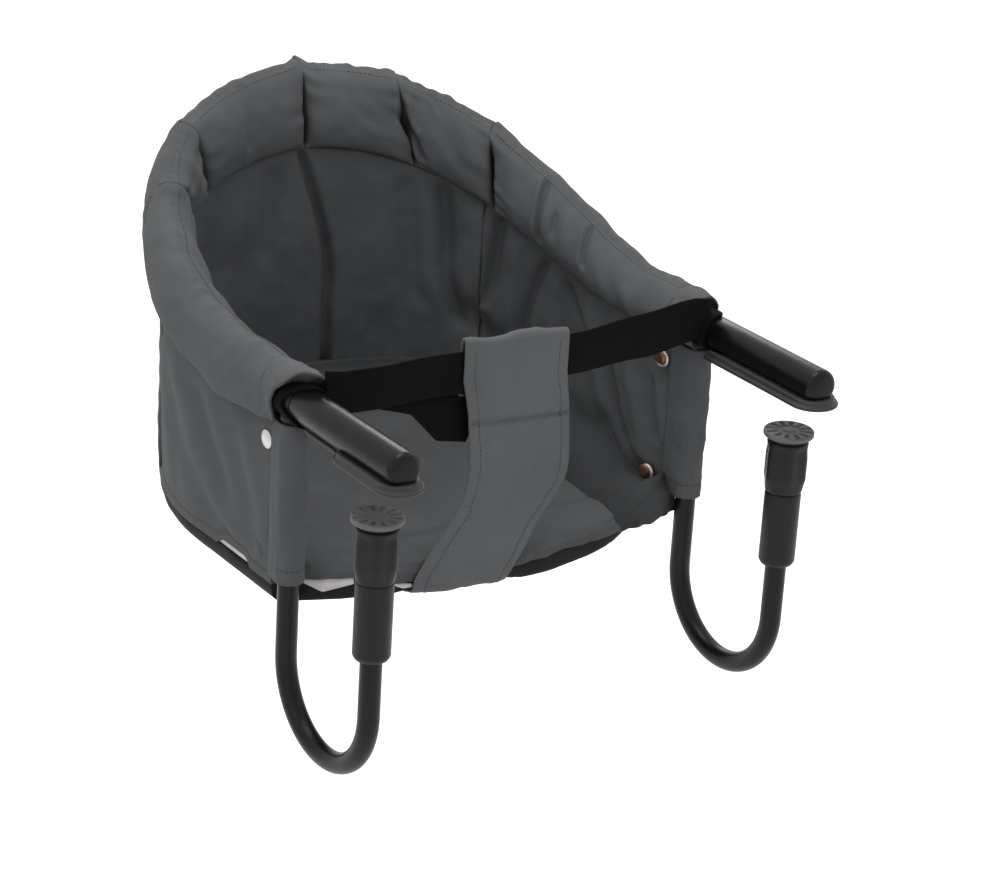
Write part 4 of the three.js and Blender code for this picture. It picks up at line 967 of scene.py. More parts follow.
# the front line set in by each level's inset and closed by a straight back edge; the lip stands
# in a little at the left, where the bottom rises, and the pale board shows in two slats
def frontTrayPiece():
    x = np.linspace(-bow["trayHalf"], bow["trayHalf"], 200)
    away = np.interp(x, tray["awayX"], tray["away"])
    drop = np.interp(x, tray["dropX"], tray["drop"])
    rings = []
    for inset, z in tray["frontLevels"]:
        low = np.maximum(z, -drop) if z < -150 else z + 0 * x
        front = np.minimum(bowFront(x) + inset + away, bow["backY"] - bow["end"])
        wobble = 0.6 * ripple(x, 0 * x + z, 36, 431) * smooth((z - tray["bottomZ"]) / 4)
        ends = [[bow["trayHalf"], bow["backY"], low[-1]], [-bow["trayHalf"], bow["backY"], low[0]]]
        rings.append(np.vstack([np.column_stack([x, front + np.abs(wobble), low]), ends]))
    parts = [gridPart(np.array(rings), capped=True)]
    for xs, tops, bottoms in tray["slats"]:
        along = np.linspace(xs[0], xs[-1], 40)
        high, low = np.interp(along, xs, tops), np.interp(along, xs, bottoms)
        corners = [(0.5, high), (-0.9, high), (-0.9, low), (0.5, low)]
        slat = np.stack([np.column_stack([along, bowFront(along) + off, z]) for off, z in corners], 1)
        parts.append(gridPart(slat, capped=True, material=1))
    makePiece("seat_front_tray", parts, [cloth["underTray"], hard["seatBoard"]])


basePiece()
frontTrayPiece()
print("seat laid")

# Corner hoods and leg sleeves
hood = {
    "bore": 14.5, "lowBore": 13.2, "clearOut": 16.6, "clearIn": 15.6, "footZ": -1.6, "backY": 19.0,
    "rows": 34, "mouth": 1.6, "frontShare": {1: 0.96, -1: 1.08},
    "bearing": [0, 0.5, 0.8, 1.3, 1.7, 2.1, 2.5, np.pi],
    "frontAt": {1: [3, 0, -3, -4, -6, -12, -15, -16], -1: [3, -1, -8, -16, -25, -21, -17, -16.5]},
    "folds": [(14, -10, 26, 16, 1.0, 3.0), (44, -12, 36, 14, 0.9, 3.0)],
}


# the hood carries the rim's end section on over the arm and comes down to
# it at a slanted front edge, further forward on the inner side than on the
# outer one; its skin is the rim's own, held clear of the arm low down
def hoodPiece(side, hand):
    skin = rimLoop(side, np.array([frontRun + 0.4]), rim["seams"][side][2], frontRun)[0][0]
    off, z = skin[:, 1], np.maximum(skin[:, 2], hood["footZ"])
    low = smooth((12 - z) / 8)
    outer, inner = between(off, hood["clearOut"], low), between(off, -hood["clearIn"], low)
    off = np.where(off > 0, np.maximum(off, outer), np.minimum(off, inner))
    above = z > plan["armZ"]
    a = np.clip(np.arctan2(z - plan["armZ"], off), 0, np.pi)
    a = np.where((z < plan["armZ"]) & (off < 0), np.pi, a)
    frontOf = np.interp(a, hood["bearing"], hood["frontAt"][side])
    lowX = np.sign(off) * between(hood["lowBore"], hood["bore"], np.clip(z / plan["armZ"], 0, 1))
    boreX = np.where(above, hood["bore"] * np.cos(a), lowX)
    boreZ = np.where(above, plan["armZ"] + hood["bore"] * np.sin(a), z)
    rows = []
    for q in np.linspace(0, 1, hood["rows"]):
        at = between(frontOf, hood["backY"], q)
        lip = np.clip(1 - np.exp(-q * 16), 0, 1)
        full = between(hood["frontShare"][side], 1, smooth(np.array(q * 1.15))) * between(0.97, 1, lip)
        inside = smooth(np.array(q * 2.6))
        crease = 0.35 * ripple(a * 20, at, 16, 441 if side > 0 else 442)
        crease = crease + 1.2 * folds(a * 20, at, hood["folds"])
        crease = 1 + crease * np.sin(np.pi * q) * smooth((z - 4) / 8) / 22
        ox = off * between(1, full * crease, smooth((z - 2) / 10))
        oz = np.where(above, plan["armZ"] + (z - plan["armZ"]) * full * crease, z)
        bx = between(ox - np.cos(a) * hood["mouth"], boreX, inside)
        bz = between(oz - np.sin(a) * hood["mouth"] * above, boreZ, inside)
        xs, zs = np.concatenate([ox, bx[::-1]]), np.concatenate([oz, bz[::-1]])
        rows.append(np.column_stack([side * (plan["halfSpan"] + xs), np.concatenate([at, at[::-1]]), zs]))
    part = gridPart(np.array(rows))
    piece = makePiece(f"{hand}_corner_hood", [part] + shellEnds(rows, side), [cloth["fabric"]], body=None)
    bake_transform(piece)


# flat ends of a folded shell: its outline is paired point for point across the shell's thickness
def shellEnds(rows, side):
    parts = []
    for row in (rows[0], rows[-1]):
        half = len(row) // 2
        points = np.vstack([row[:half], row[::-1][:half]])
        i = np.arange(half - 1)
        quads = np.stack([i, i + 1, half + i + 1, half + i], -1)
        uv = np.stack([points[:, 0], points[:, 2]], -1)
        turned = quads[:, ::-1] if (row is rows[0]) == (side < 0) else quads
        parts.append({"points": points, "quads": turned, "quadUv": uv[quads], "tris": np.zeros((0, 3), int),
                      "triUv": np.zeros((0, 3, 2)), "material": 0})
    return parts


sleeve = {"topZ": -2, "hemZ": -133, "r": 12.6, "bore": 10.9, "backIn": 12, "backOut": 8, "backY": 19.2,
          "hemUp": 13, "rows": 56, "sides": 64}


# the sleeve's section: half round in front of the leg, drawn straight back to the side panel
def sleevePiece(side, hand):
    n = sleeve["sides"]
    z = np.linspace(sleeve["topZ"], sleeve["hemZ"], sleeve["rows"])[:, None]
    a = np.linspace(0, np.pi, n // 2)[None, :]
    loose = 0.55 * ripple(a * 14, z, 34, 451 if side > 0 else 452) + 0.2 * ripple(a * 14, z, 12, 453)
    edge = smooth((sleeve["topZ"] - z) / 6) * smooth((z - sleeve["hemZ"]) / 5)
    r = sleeve["r"] - 0.5 + np.clip(loose, -0.8, 0.9) * edge
    r = r - 0.5 * np.exp(-((z - sleeve["hemZ"] - sleeve["hemUp"]) / 1.1) ** 2)
    front = np.stack([r * np.cos(a), -r * np.sin(a)], -1)
    t = np.linspace(0, 1, n // 4 + 1)[None, 1:]
    corner = -front[:, -1, 0][:, None]
    wobble = 0.7 * ripple(t * 20, z, 26, 455) * np.sin(np.pi * t) * edge
    inner = np.stack([-between(corner, sleeve["backIn"], t) - wobble, sleeve["backY"] * t + 0 * z], -1)
    corner = front[:, 0, 0][:, None]
    outer = np.stack([between(sleeve["backOut"], corner, t) + wobble, sleeve["backY"] * (1 - t) + 0 * z], -1)
    skin = np.concatenate([front, inner, outer[:, :-1]], 1)
    centred = skin - np.array([0, 1.0])
    bearing = np.arctan2(centred[..., 1], centred[..., 0])
    bore = sleeve["bore"] * np.stack([np.cos(bearing), np.sin(bearing)], -1)
    outerShell = np.concatenate([skin, z[..., None] + 0 * skin[..., :1]], -1)
    innerShell = np.concatenate([bore, z[..., None] + 0 * bore[..., :1]], -1)[::-1]
    middle = (outerShell[-1:] * 0.5 + innerShell[:1] * 0.5)
    middle[..., 2] = sleeve["hemZ"]
    rings = np.concatenate([outerShell, middle, innerShell], 0)
    rings = rings * np.array([side, 1, 1]) + np.array([side * plan["halfSpan"], 0, 0])
    part = gridPart(rings, closeRows=True)
    row = int(np.argmin(np.abs(z[:, 0] - sleeve["hemZ"] - sleeve["hemUp"])))
    line = rings[row, :n // 2 + n // 4]
    out = line - np.array([side * plan["halfSpan"], 4, 0]) * np.array([1, 1, 0]) - line * np.array([0, 0, 1])
    thread = stitches(line, out, pitch=4.0, length=2.6, thick=0.38)
    piece = makePiece(f"{hand}_leg_sleeve", [part, thread], [cloth["fabric"], cloth["seamThread"]], body=None)
    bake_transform(piece)


for side, hand in hands:
    hoodPiece(side, hand)
    sleevePiece(side, hand)
print("hoods and sleeves sewn")

# Waist belt, its loops round the arms, and the crotch strap
belt = {
    "z": 23, "half": 17, "thick": 2, "nearX": 175.5, "endX": 182, "midY": -26, "endY": -19.5, "endLift": 2.5,
    "columns": 160, "liftX": [60, 120, 150, 166, 182], "topLift": [0, 5, 8.6, 8.6, 5.2],
    "footLift": [0, 1.5, 5.5, 7, 7],
    "tail": [(-126, 3), (-98, -6), (-75, -31), (-47, -37), (-36, 4), (-40, 8), (-90, 9)], "tailY": -21,
    "tailThick": 1.6,
}


# the belt is a thin ribbed band whose middle line is a parabola in plan, lifted towards its ends; its loose
# tail is a flat outline drawn in towards its middle point, with a parabola of its own
def beltPiece():
    x = np.linspace(-belt["nearX"], belt["endX"], belt["columns"])[:, None]
    y = between(belt["midY"], belt["endY"], (x / belt["endX"]) ** 2)
    v = np.array([-1, -0.97, -0.5, 0, 0.5, 0.97, 1])[None, :]
    rib = np.array([0.75, 1, 0.92, 1.04, 0.92, 1, 0.75])[None, :] * belt["thick"] / 2
    sway = 0.4 * ripple(x, 0 * x, 60, 461)
    tip = 0.8 * ripple(x, 0 * x, 80, 462) + belt["endLift"] * smooth((-x - 158) / 20)
    footLift, topLift = [np.interp(x, belt["liftX"], lift) for lift in (belt["footLift"], belt["topLift"])]
    z = belt["z"] + v * belt["half"] + tip + between(footLift, topLift, (v + 1) / 2)
    front = np.stack([x + 0 * v, y + sway - rib, z], -1)
    back = np.stack([x + 0 * v, y + sway + rib, z], -1)[:, ::-1]
    part = gridPart(np.concatenate([front, back], 1), capped=True)
    outline = np.array(belt["tail"], float)
    mid = np.vstack([outline, outline[:1]])
    along = np.linspace(0, len(outline), 81)[:-1]
    edgeLine = np.stack([np.interp(along, np.arange(len(mid)), mid[:, k]) for k in range(2)], -1)
    centre = edgeLine.mean(0)
    shrink = np.array([0.02, 0.5, 0.985, 1, 1, 0.985, 0.5, 0.02])[:, None, None]
    flat = centre + (edgeLine - centre) * shrink
    thin = np.array([-1, -1, -1, -0.6, 0.6, 1, 1, 1])[:, None] * belt["tailThick"] / 2
    bend = belt["tailY"] + 2.5 * (flat[..., 0] / 130) ** 2 + 0.5 * ripple(flat[..., 0], flat[..., 1], 50, 463)
    tail = gridPart(np.stack([flat[..., 0], bend + thin, flat[..., 1]], -1), capped=True)
    piece = makePiece("waist_belt", [part, tail], [cloth["webbing"]])
    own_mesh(piece)


beltPiece()

loop = {"profile": [(14.4, -24.6), (16.6, -24.6), (16.8, -18.5), (16.4, -9), (14.4, -9)], "slant": 17.5}


# the loop is a slanted band: it stays forward on the inner
# side and reaches back round the arm on the outer one
def loopPiece(side, hand):
    fold = lambda h, a, r: 0.25 * np.sin(3 * a + h * 0.4)
    points = lathe(eased(loop["profile"], 0.7), (0, 0, 0), "y", 72, fold)
    bearing = np.arctan2(points[..., 2], points[..., 0])
    outwards = np.maximum(np.cos(bearing), 0) ** 1.3
    points[..., 1] += loop["slant"] * outwards * smooth((points[..., 2] + 15) / 15)
    points = points * np.array([side, 1, 1]) + np.array([side * plan["halfSpan"], 0, plan["armZ"]])
    part = gridPart(points, closeRows=True)
    makePiece(f"{hand}_belt_loop", [part], [cloth["webbing"]])


for side, hand in hands:
    loopPiece(side, hand)

strap = {
    "thick": 2.6, "topZ": 47, "footZ": -155, "edgeInset": 9.5, "crossZ": -21, "crossRise": -0.03,
    "crossDepth": 2.6, "columns": 56, "nearTopRise": 3.5, "farTopDrop": 5.5,
    "nearZ": [47, 4, -30, -67, -96, -128, -143, -155], "nearX": [-58, -54, -51, -50, -64, -86, -93, -93],
    "farZ": [47, 4, -30, -65, -80, -89.5, -98, -129, -150, -155],
    "farX": [38, 40, 42, 43, 41, 34.5, 17, 0, -14, -14],
}
# (y, z) points from behind the belt over it and down to the tray's underside; near is the sitter's right
# edge and far the left one
strapPath = [
    (-22.9, 2), (-22.9, 20), (-22.9, 40), (-24.2, 45.6), (-26, 47), (-27.7, 46.2), (-28.7, 42), (-28.9, 20),
    (-29.2, 4), (-31.4, -30), (-33.6, -61), (-36.4, -96), (-38.5, -127), (-38.8, -141), (-38.0, -149.5),
    (-33.5, -153.6), (-22, -155), (-6, -157),
]


# the running mean of a row of values over nineteen of them
def softLine(values):
    return np.convolve(np.pad(values, 9, "edge"), np.ones(19) / 19, "valid")


# the strap: a flat fold of cloth carried along its path, its edges drawn as measured, with a
# fine swell between its seams; below the board it follows the bow of the seat's front edge
def strapPiece():
    path = np.array(strapPath, float)
    places = np.linspace(0, len(path) - 1, 18 * (len(path) - 1) + 1)
    line = curveWeights(len(path), places) @ path
    tangent = unit(np.gradient(line, axis=0))
    normal = np.column_stack([-tangent[:, 1], tangent[:, 0]])
    height = np.where(places < 8, strap["topZ"], line[:, 1])
    height = np.where(places > 14.5, strap["footZ"], height)
    near = softLine(np.interp(-height, -np.array(strap["nearZ"]), strap["nearX"]))
    far = softLine(np.interp(-height, -np.array(strap["farZ"]), strap["farX"]))
    middle, half = ((near + far) / 2)[:, None], ((far - near) / 2)[:, None]
    v = np.sin(np.linspace(-np.pi / 2, np.pi / 2, strap["columns"]))[None, :]
    x = middle + half * v
    inset = strap["edgeInset"]
    edge = half * (1 - np.abs(v))
    seam = np.exp(-((edge - inset) / 1.0) ** 2) + 0.8 * np.exp(-((edge - inset - 4.5) / 1.0) ** 2) * (v < 0)
    along = np.append(0, np.cumsum(np.linalg.norm(np.diff(line, axis=0), axis=1)))[:, None]
    shownFront = smooth((places - 7) / 1.5)[:, None] * smooth((15 - places) / 1.5)[:, None]
    fromCross = line[:, 1][:, None] - strap["crossZ"] - strap["crossRise"] * x
    cross = strap["crossDepth"] * np.exp(-(fromCross / 2.0) ** 2) * shownFront
    soft = 0.6 * ripple(x, along, 44, 471) + 0.3 * ripple(x, along, 15, 472)
    swell = 0.7 * smooth(edge / 8) - 0.7 * seam - cross * smooth(edge / 5 + 0.2) + soft * smooth(edge / 10)
    thick = strap["thick"] / 2 * np.clip(edge / 0.7, 0.25, 1) ** 0.5
    frontOff = thick + np.maximum(swell, -2.2)
    low = smooth((-line[:, 1] - 70) / 50)[:, None] * smooth((places - 9) / 2)[:, None]
    bowed = np.maximum(bowFront(x) - bow["frontY"], 0) - 0.6
    tilt = (1.6 * (v ** 2) - 0.6) * smooth((places - 6) / 4)[:, None] * (1 - low)
    tilt = tilt + low * bowed * (1 - smooth((places - 15.4) / 1.2))[:, None]
    rise = strap["nearTopRise"] * smooth((-x - 30) / 30) - strap["farTopDrop"] * smooth((x - 10) / 60)
    rise = rise * smooth((6.5 - np.abs(places - 4.5)) / 4)[:, None]
    y0, z0 = line[:, 0][:, None], line[:, 1][:, None]
    ny, nz = normal[:, 0][:, None], normal[:, 1][:, None]
    faceFront = np.stack([x, y0 + tilt - ny * frontOff, z0 + rise - nz * frontOff], -1)
    faceBack = np.stack([x, y0 + tilt + ny * thick, z0 + rise + nz * thick], -1)[:, ::-1]
    part = gridPart(np.concatenate([faceFront, faceBack], 1), capped=True)
    rows = np.where((places > 6.2) & (places < 14.6))[0]
    parts = [part]
    outward = np.stack([0 * ny[:, 0], -ny[:, 0], -nz[:, 0]], -1)
    for edgeSide in (-1, 1):
        column = np.argmin(np.abs(edge[rows] - inset) + 99 * (v * edgeSide < 0), axis=1)
        parts.append(stitches(faceFront[rows, column], outward[rows], pitch=3.8, length=2.6, thick=0.36))
    piece = makePiece("crotch_strap", parts, [cloth["strapCloth"], cloth["seamThread"]])
    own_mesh(piece)


strapPiece()
print("belt and strap set")

# Arms: covers and soles
arm = {
    "r": 14, "tubeR": 9.4, "backY": -14.4, "noseY": -158.5, "noseRound": 6.5, "soleTipY": -146, "soleR": 20,
    "soleHalf": 19.5, "soleBackY": -27, "soleStepY": -78, "soleNarrow": 9, "narrowRun": 12,
    "soleLevels": [(6, 0), (0.9, 0), (0.3, 0.25), (0, 0.9), (0, 1.9), (0.35, 2.6), (1.1, 2.9), (1.9, 3.0),
                   (2.5, 3.5), (2.8, 4.6), (3.0, 6.0), (3.5, 6.8), (4.4, 7.1), (7.4, 7.1)],
}


# a turned surface: the tube's bore, a straight wall, and a flat nose rounded off by a quarter circle
def coverPiece(side, hand):
    nose = np.linspace(0, np.pi / 2, 14)
    r, back, soft = arm["r"], arm["backY"], arm["noseRound"]
    profile = [(arm["tubeR"], back - 30), (arm["tubeR"], back), (13.0, back), (13.8, back - 0.5),
               (r, back - 1.4), (r, -60), (r, -100)]
    profile += [(r - soft + soft * np.cos(t), arm["noseY"] + soft * (1 - np.sin(t)) + 0.4) for t in nose]
    profile += [(5.5, arm["noseY"] + 0.15), (0.4, arm["noseY"])]
    points = lathe(profile, (side * plan["halfSpan"], 0, plan["armZ"]), "y", 72)
    part = gridPart(points, capped=True)
    makePiece(f"{hand}_arm_cover", [part], [hard["armPlastic"]])


# outline of the sole: a round tip, a full ledge on the inner side and a short one on the
# outer side; it is softened by cutting each corner off at its quarters, three times over
def soleOutline():
    a = np.linspace(0, np.pi, 25)
    tip = np.column_stack([arm["soleR"] * np.cos(a), arm["soleTipY"] - arm["soleR"] * np.sin(a)])
    half, narrow, back, step = arm["soleHalf"], arm["soleNarrow"], arm["soleBackY"], arm["soleStepY"]
    rest = np.array([
        (-half, -110), (-half, -70), (-half, back - 4), (-half + 4, back), (0, back), (narrow, back),
        (narrow, -50), (narrow, step), (16.5, step - 3.6), (half, step - arm["narrowRun"]), (half, -115),
    ])
    outline = np.vstack([tip, rest])
    for _ in range(3):
        after = np.roll(outline, -1, 0)
        outline = np.stack([0.75 * outline + 0.25 * after, 0.25 * outline + 0.75 * after], 1).reshape(-1, 2)
    return outline


# the outline set inwards along its own normals, one ring for each inset and height
def solePiece(side, hand):
    outline = soleOutline()
    tangent = unit(np.roll(outline, -1, 0) - np.roll(outline, 1, 0))
    inward = np.column_stack([-tangent[:, 1], tangent[:, 0]])
    if (inward * (np.array([0, -90]) - outline)).sum() < 0:
        inward = -inward
    rings = []
    for inset, z in arm["soleLevels"]:
        x, y = (outline + inward * inset).T
        rings.append(np.column_stack([side * (plan["halfSpan"] + x), y, 0 * x + z]))
    part = gridPart(np.array(rings), capped=True)
    makePiece(f"{hand}_arm_sole", [part], [hard["soleRubber"]])


for side, hand in hands:
    coverPiece(side, hand)
    solePiece(side, hand)
print("arms covered")

# Hooks: tube, clamp sleeve, grip knob, pad
hook = {"tubeR": 8.5, "bendR": 61, "bendZ": -194, "topZ": 1.4, "endZ": -86, "sides": 40}
clamp = {
    "profile": [(9.0, -110), (9.0, -144.2), (10.2, -145), (12.6, -145), (14.5, -141.6), (14.5, -110),
                (14.5, -84.0), (13.6, -82.3), (12.4, -82.3), (12.1, -86), (12.1, -110)],
}
knob = {
    "wings": 6, "wingDepth": 1.9,
    "profile": [(4.4, -60), (4.4, -39.6), (5.2, -39), (15.2, -39), (16.6, -40.4), (16.6, -45), (17.4, -52),
                (17.4, -70), (15.0, -80.6), (14.2, -82), (11.7, -82.4), (11.7, -96), (9, -96), (9, -84),
                (4.4, -84)],
}
pad = {
    "topZ": -31, "ribs": 12, "grooveDepth": 1.9, "round": 0.9,
    "radii": [0.01, 2.2, 4.0, 4.6, 5.4, 7.4, 8.2, 9.0, 9.6, 10.4, 12, 14, 16, 17.6, 18.2, 18.8, 19.4, 19.9,
              20.0],
    "belowR": [20.0, 20.0, 19.4, 18.6, 8.0], "belowZ": [-32.6, -34.4, -35.3, -35.6, -35.6],
    "plate": [(4.4, -37.2), (4.4, -38.7), (15.0, -38.7), (15.5, -38.2), (15.5, -36.4), (15, -35.9),
              (0.4, -35.9)],
}


# a circle carried down the leg, round a half circle of bendR and up again, leaning with its path
def hookPiece(side, hand):
    turn = np.linspace(0, np.pi, 49)
    bendR, bendZ = hook["bendR"], hook["bendZ"]
    y = np.concatenate([[0, 0, 0], -bendR + bendR * np.cos(turn), [plan["hookY"]] * 2])
    z = np.concatenate([[hook["topZ"], -60, -130], bendZ - bendR * np.sin(turn), [-140, hook["endZ"]]])
    lean = np.concatenate([[0, 0, 0], turn, [np.pi, np.pi]])[:, None]
    a = (np.arange(hook["sides"]) * 2 * np.pi / hook["sides"])[None, :]
    out = hook["tubeR"] * np.cos(a)
    x = side * plan["halfSpan"] + hook["tubeR"] * np.sin(a) + 0 * lean
    points = np.stack([x, y[:, None] + out * np.cos(lean), z[:, None] - out * np.sin(lean)], -1)
    part = gridPart(points, capped=True)
    makePiece(f"{hand}_hook_tube", [part], [hard["paintedSteel"]], body=f"{hand}_hook")


# a turned surface: the sleeve's wall and bore, its corners rounded
def clampPiece(side, hand):
    points = lathe(eased(clamp["profile"], 0.8), (side * plan["halfSpan"], plan["hookY"], 0), "z", 64)
    part = gridPart(points, closeRows=True)
    makePiece(f"{hand}_clamp_sleeve", [part], [hard["knobPlastic"]], body=f"{hand}_hook")


# six wings: the radius dips between them, most where the knob is widest
def knobReach(h, a, r):
    wide = smooth((h + 82) / 10) * smooth((-h - 39) / 9)
    dip = np.clip((1 - np.cos(knob["wings"] * a)) / 2, 0, 1) ** 0.8
    return -knob["wingDepth"] * wide * dip * (r > 12.5)


def knobPiece(side, hand):
    middle = (side * plan["halfSpan"], plan["hookY"], 0)
    points = lathe(eased(knob["profile"], 1.1), middle, "z", 144, knobReach)
    part = gridPart(points, closeRows=True)
    makePiece(f"{hand}_grip_knob", [part], [hard["knobPlastic"]], body=f"{hand}_knob")


# the pad's face: twelve ribs with grooves between, a plain ring round a small raised hub
def padPiece(side, hand):
    angle = np.arange(288) * 2 * np.pi / 288
    radii = np.array(pad["radii"])[:, None]
    groove = smooth((np.cos(pad["ribs"] * angle) + 0.45) / 0.5)
    height = pad["topZ"] - np.where(radii < 4.3, 0.1, np.where(radii < 9.2, 0.6, 0))
    inGroove = smooth((radii - 9.2) / 0.8) * smooth((18.6 - radii) / 0.8)
    z = height - pad["grooveDepth"] * inGroove * (1 - groove[None, :])
    z = z - pad["round"] * smooth(radii - 19.0) ** 2
    top = np.stack([radii * np.cos(angle), radii * np.sin(angle), z], -1)
    belowR, belowZ = np.array(pad["belowR"])[:, None], np.array(pad["belowZ"])[:, None]
    below = np.stack([belowR * np.cos(angle), belowR * np.sin(angle), belowZ + 0 * angle], -1)
    middle = (side * plan["halfSpan"], plan["hookY"], 0)
    part = gridPart(np.concatenate([top, below], 0) + np.array(middle), capped=True)
    makePiece(f"{hand}_clamp_pad", [part], [hard["padRubber"]], body=f"{hand}_pad")
    plate = gridPart(lathe(eased(pad["plate"], 0.3, 3), middle, "z", 48), capped=True)
    makePiece(f"{hand}_pad_plate", [plate], [hard["knobPlastic"]], body=f"{hand}_pad")


for side, hand in hands:
    hookPiece(side, hand)
    clampPiece(side, hand)
    knobPiece(side, hand)
    padPiece(side, hand)

# Press studs: domed caps outside, ringed sockets inside
stud = {
    "places": {"upper": (30, -27), "lower": (38, -121)}, "seat": 0.45, "innerX": 177.7, "tilt": 22,
    "shift": {"upper": (0, 0, 5.6), "lower": (-2.5, -3.0, -3.4)},
    "dome": [(0.3, 0), (6.8, 0), (7.4, 0.25), (7.5, 0.8), (7.0, 1.3), (6.3, 1.5), (5.6, 1.9), (4.4, 2.5),
             (2.6, 2.9), (0.3, 3.0)],
    "ring": [(4.6, 0), (7.0, 0), (7.6, 0.3), (7.6, 1.1), (6.9, 1.7), (6.0, 1.9), (5.4, 1.5), (5.1, 0.6)],
    "button": [(0.3, 0), (6.1, 0), (6.1, 1.6), (5.5, 2.4), (4.2, 3.0), (2.2, 3.3), (0.3, 3.35)],
}


# the lower caps are covered with the panel's cloth, the
# upper ones are bare; the sockets stand a little askew
def studPieces(side, hand):
    for where, (y, z) in stud["places"].items():
        capX = plan["halfSpan"] + float(wallOff(z, 0)) + stud["seat"]
        points = lathe(eased(stud["dome"], 0.4, 3), (0, 0, 0), "x", 48)
        points = points * np.array([side, 1, 1]) + np.array([side * capX, y, z])
        bare = where == "upper"
        makePiece(f"{hand}_{where}_stud_cap", [gridPart(points, capped=True)],
                  [hard["capMetal"] if bare else cloth["fabric"]])
        turn = np.radians(stud["tilt"])
        parts = []
        for k, profile in enumerate((stud["ring"], stud["button"])):
            points = lathe(eased(profile, 0.4, 3), (0, 1.5 * k, 0.7 * k), "x", 48)
            tilted = points.copy()
            lift = np.clip(points[..., 0] / 1.5, 0, 1)
            tilted[..., 0] = points[..., 0] + lift * np.tan(turn) * (points[..., 1] + 7.6) * 0.45
            tilted = tilted * np.array([-side, 1, 1]) + np.array([side * stud["innerX"], y, z])
            if side > 0:
                tilted = tilted + np.array(stud["shift"][where])
            parts.append(gridPart(tilted, closeRows=k == 0, capped=k == 1, material=k))
        metals = [hard["capMetal"], hard["socketMetal"]]
        makePiece(f"{hand}_{where}_stud_socket", parts, metals)


for side, hand in hands:
    studPieces(side, hand)
print("hooks, clamps and studs fitted")

# CAD nodes that keep their own shape get their finish
kept = {"top_frame_tube": "paintedSteel", "seat_board": "seatBoard"}
for side, hand in hands:
    kept.update({f"{hand}_hook_collar": "knobPlastic", f"{hand}_retaining_ring": "knobPlastic",
                 f"{hand}_screw_nut": "screwSteel", f"{hand}_screw_spindle": "screwSteel"})
for name, finish in kept.items():
    mesh = bpy.data.objects[name].data
    mesh.materials.clear()
    mesh.materials.append(hard[finish])

# Floor, light and camera, in metres and degrees, the lens in millimetres
stage = {"floorZ": -0.74, "size": 9.0, "white": 1.0, "paper": 0.8, "floorGlow": 0.62, "surround": 0.6,
         "aim": (0, 0.06, -0.06)}


# white only to the camera and in reflections: everything else sees the plain grey surround; the
# floor's paper is raised to white there by a glow, so that the object's shadow stays on it
def backdropNodes(tree, seen, unseen, surface):
    path = addNode(tree, "ShaderNodeLightPath")
    either = mathNode(tree, "MAXIMUM", path.outputs["Is Camera Ray"], path.outputs["Is Transmission Ray"])
    either = mathNode(tree, "MAXIMUM", either, path.outputs["Is Glossy Ray"])
    mix = addNode(tree, "ShaderNodeMixShader")
    tree.links.new(either, mix.inputs[0])
    tree.links.new(unseen, mix.inputs[1])
    tree.links.new(seen, mix.inputs[2])
    tree.links.new(mix.outputs[0], surface)


def makeStage():
    world = bpy.data.worlds.new("studio")
    bpy.context.scene.world = world
    world.use_nodes = True
    tree = world.node_tree
    unseen = tree.nodes["Background"]
    seen = addNode(tree, "ShaderNodeBackground")
    setInputs(seen, {"Color": (1, 1, 1, 1), "Strength": stage["white"]})
    setInputs(unseen, {"Color": (1, 1, 1, 1), "Strength": stage["surround"]})
    backdropNodes(tree, seen.outputs[0], unseen.outputs[0], tree.nodes["World Output"].inputs[0])
    half = stage["size"] / 2
    mesh = bpy.data.meshes.new("studio_floor")
    corners = [(-half, -half, 0), (half, -half, 0), (half, half, 0), (-half, half, 0)]
    mesh.from_pydata(corners, [], [(0, 1, 2, 3)])
    mesh.transform(Matrix.Translation((0, 0, stage["floorZ"])))
    floor = bpy.data.objects.new("studio_floor", mesh)
    bpy.context.scene.collection.objects.link(floor)
    paper = bpy.data.materials.new("floorPaper")
    paper.use_nodes = True
    tree = paper.node_tree
    shader = tree.nodes["Principled BSDF"]
    setInputs(shader, {"Base Color": (*[stage["paper"]] * 3, 1), "Roughness": 0.9})
    glow = addNode(tree, "ShaderNodeEmission")
    setInputs(glow, {"Color": (1, 1, 1, 1), "Strength": stage["floorGlow"]})
    lit = addNode(tree, "ShaderNodeAddShader")
    tree.links.new(glow.outputs[0], lit.inputs[0])
    tree.links.new(shader.outputs[0], lit.inputs[1])
    backdropNodes(tree, lit.outputs[0], shader.outputs[0], tree.nodes["Material Output"].inputs["Surface"])
    mesh.materials.append(paper)


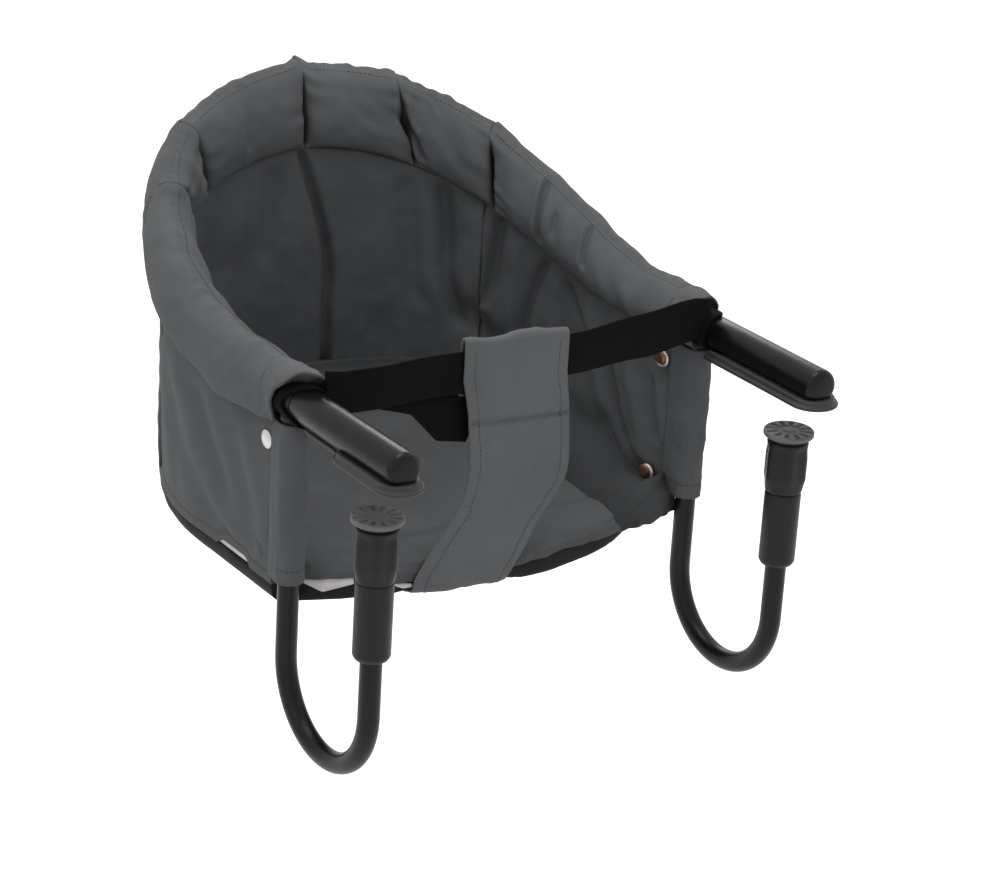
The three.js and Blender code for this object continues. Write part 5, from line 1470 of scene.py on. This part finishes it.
lamps = {
    "key": {"place": (-2.1, -0.5, 0.9), "size": 1.3, "power": 2.5},
    "low": {"place": (-0.6, -2.3, -0.4), "size": 1.6, "power": 1.5},
    "top": {"place": (-0.2, 0.3, 2.4), "size": 1.4, "power": 28},
    "back": {"place": (1.6, 2.3, 1.15), "size": 1.0, "power": 9},
}


# an object of the scene turned so that its axes are the given ones
def placed(name, data, axes, place):
    holder = bpy.data.objects.new(name, data)
    bpy.context.scene.collection.objects.link(holder)
    turn = Matrix(np.column_stack(axes).tolist()).to_4x4()
    holder.matrix_world = Matrix.Translation(place) @ turn
    return holder


# every lamp is turned towards the aim point
def makeLamps():
    for name, lamp in lamps.items():
        light = bpy.data.lights.new(name, "AREA")
        light.shape = "SQUARE"
        light.size = lamp["size"]
        light.energy = lamp["power"]
        back = unit(np.array(lamp["place"]) - np.array(stage["aim"]))
        right = unit(np.cross([0, 0, 1], back))
        placed(name, light, [right, np.cross(back, right), back], lamp["place"])


view = {"azimuth": -34.9, "elevation": 22.18, "roll": 3.53, "distance": 2.501, "lens": 111.34,
        "shiftRight": 0.01072, "shiftUp": 0.18699, "lookZ": -0.255}


# the camera stands back along its line of sight, is rolled a little, and is shifted across and up
def makeCamera():
    a, e, t = np.radians([view["azimuth"], view["elevation"], view["roll"]])
    back = np.array([np.sin(a) * np.cos(e), -np.cos(a) * np.cos(e), np.sin(e)])
    right = np.array([np.cos(a), np.sin(a), 0])
    up = np.array([-np.sin(a) * np.sin(e), np.cos(a) * np.sin(e), np.cos(e)])
    tiltedRight = np.cos(t) * right + np.sin(t) * up
    tiltedUp = -np.sin(t) * right + np.cos(t) * up
    place = view["distance"] * back + view["shiftRight"] * tiltedRight + view["shiftUp"] * tiltedUp
    place = place + np.array([0, 0, view["lookZ"]])
    lens = bpy.data.cameras.new("camera")
    lens.sensor_fit = "HORIZONTAL"
    lens.sensor_width = 36
    lens.lens = view["lens"]
    lens.clip_end = 50
    camera = placed("camera", lens, [tiltedRight, tiltedUp, back], place.tolist())
    bpy.context.scene.camera = camera


makeStage()
makeLamps()
makeCamera()
bpy.context.scene.view_settings.view_transform = "Standard"
print("stage, lamps and camera set")
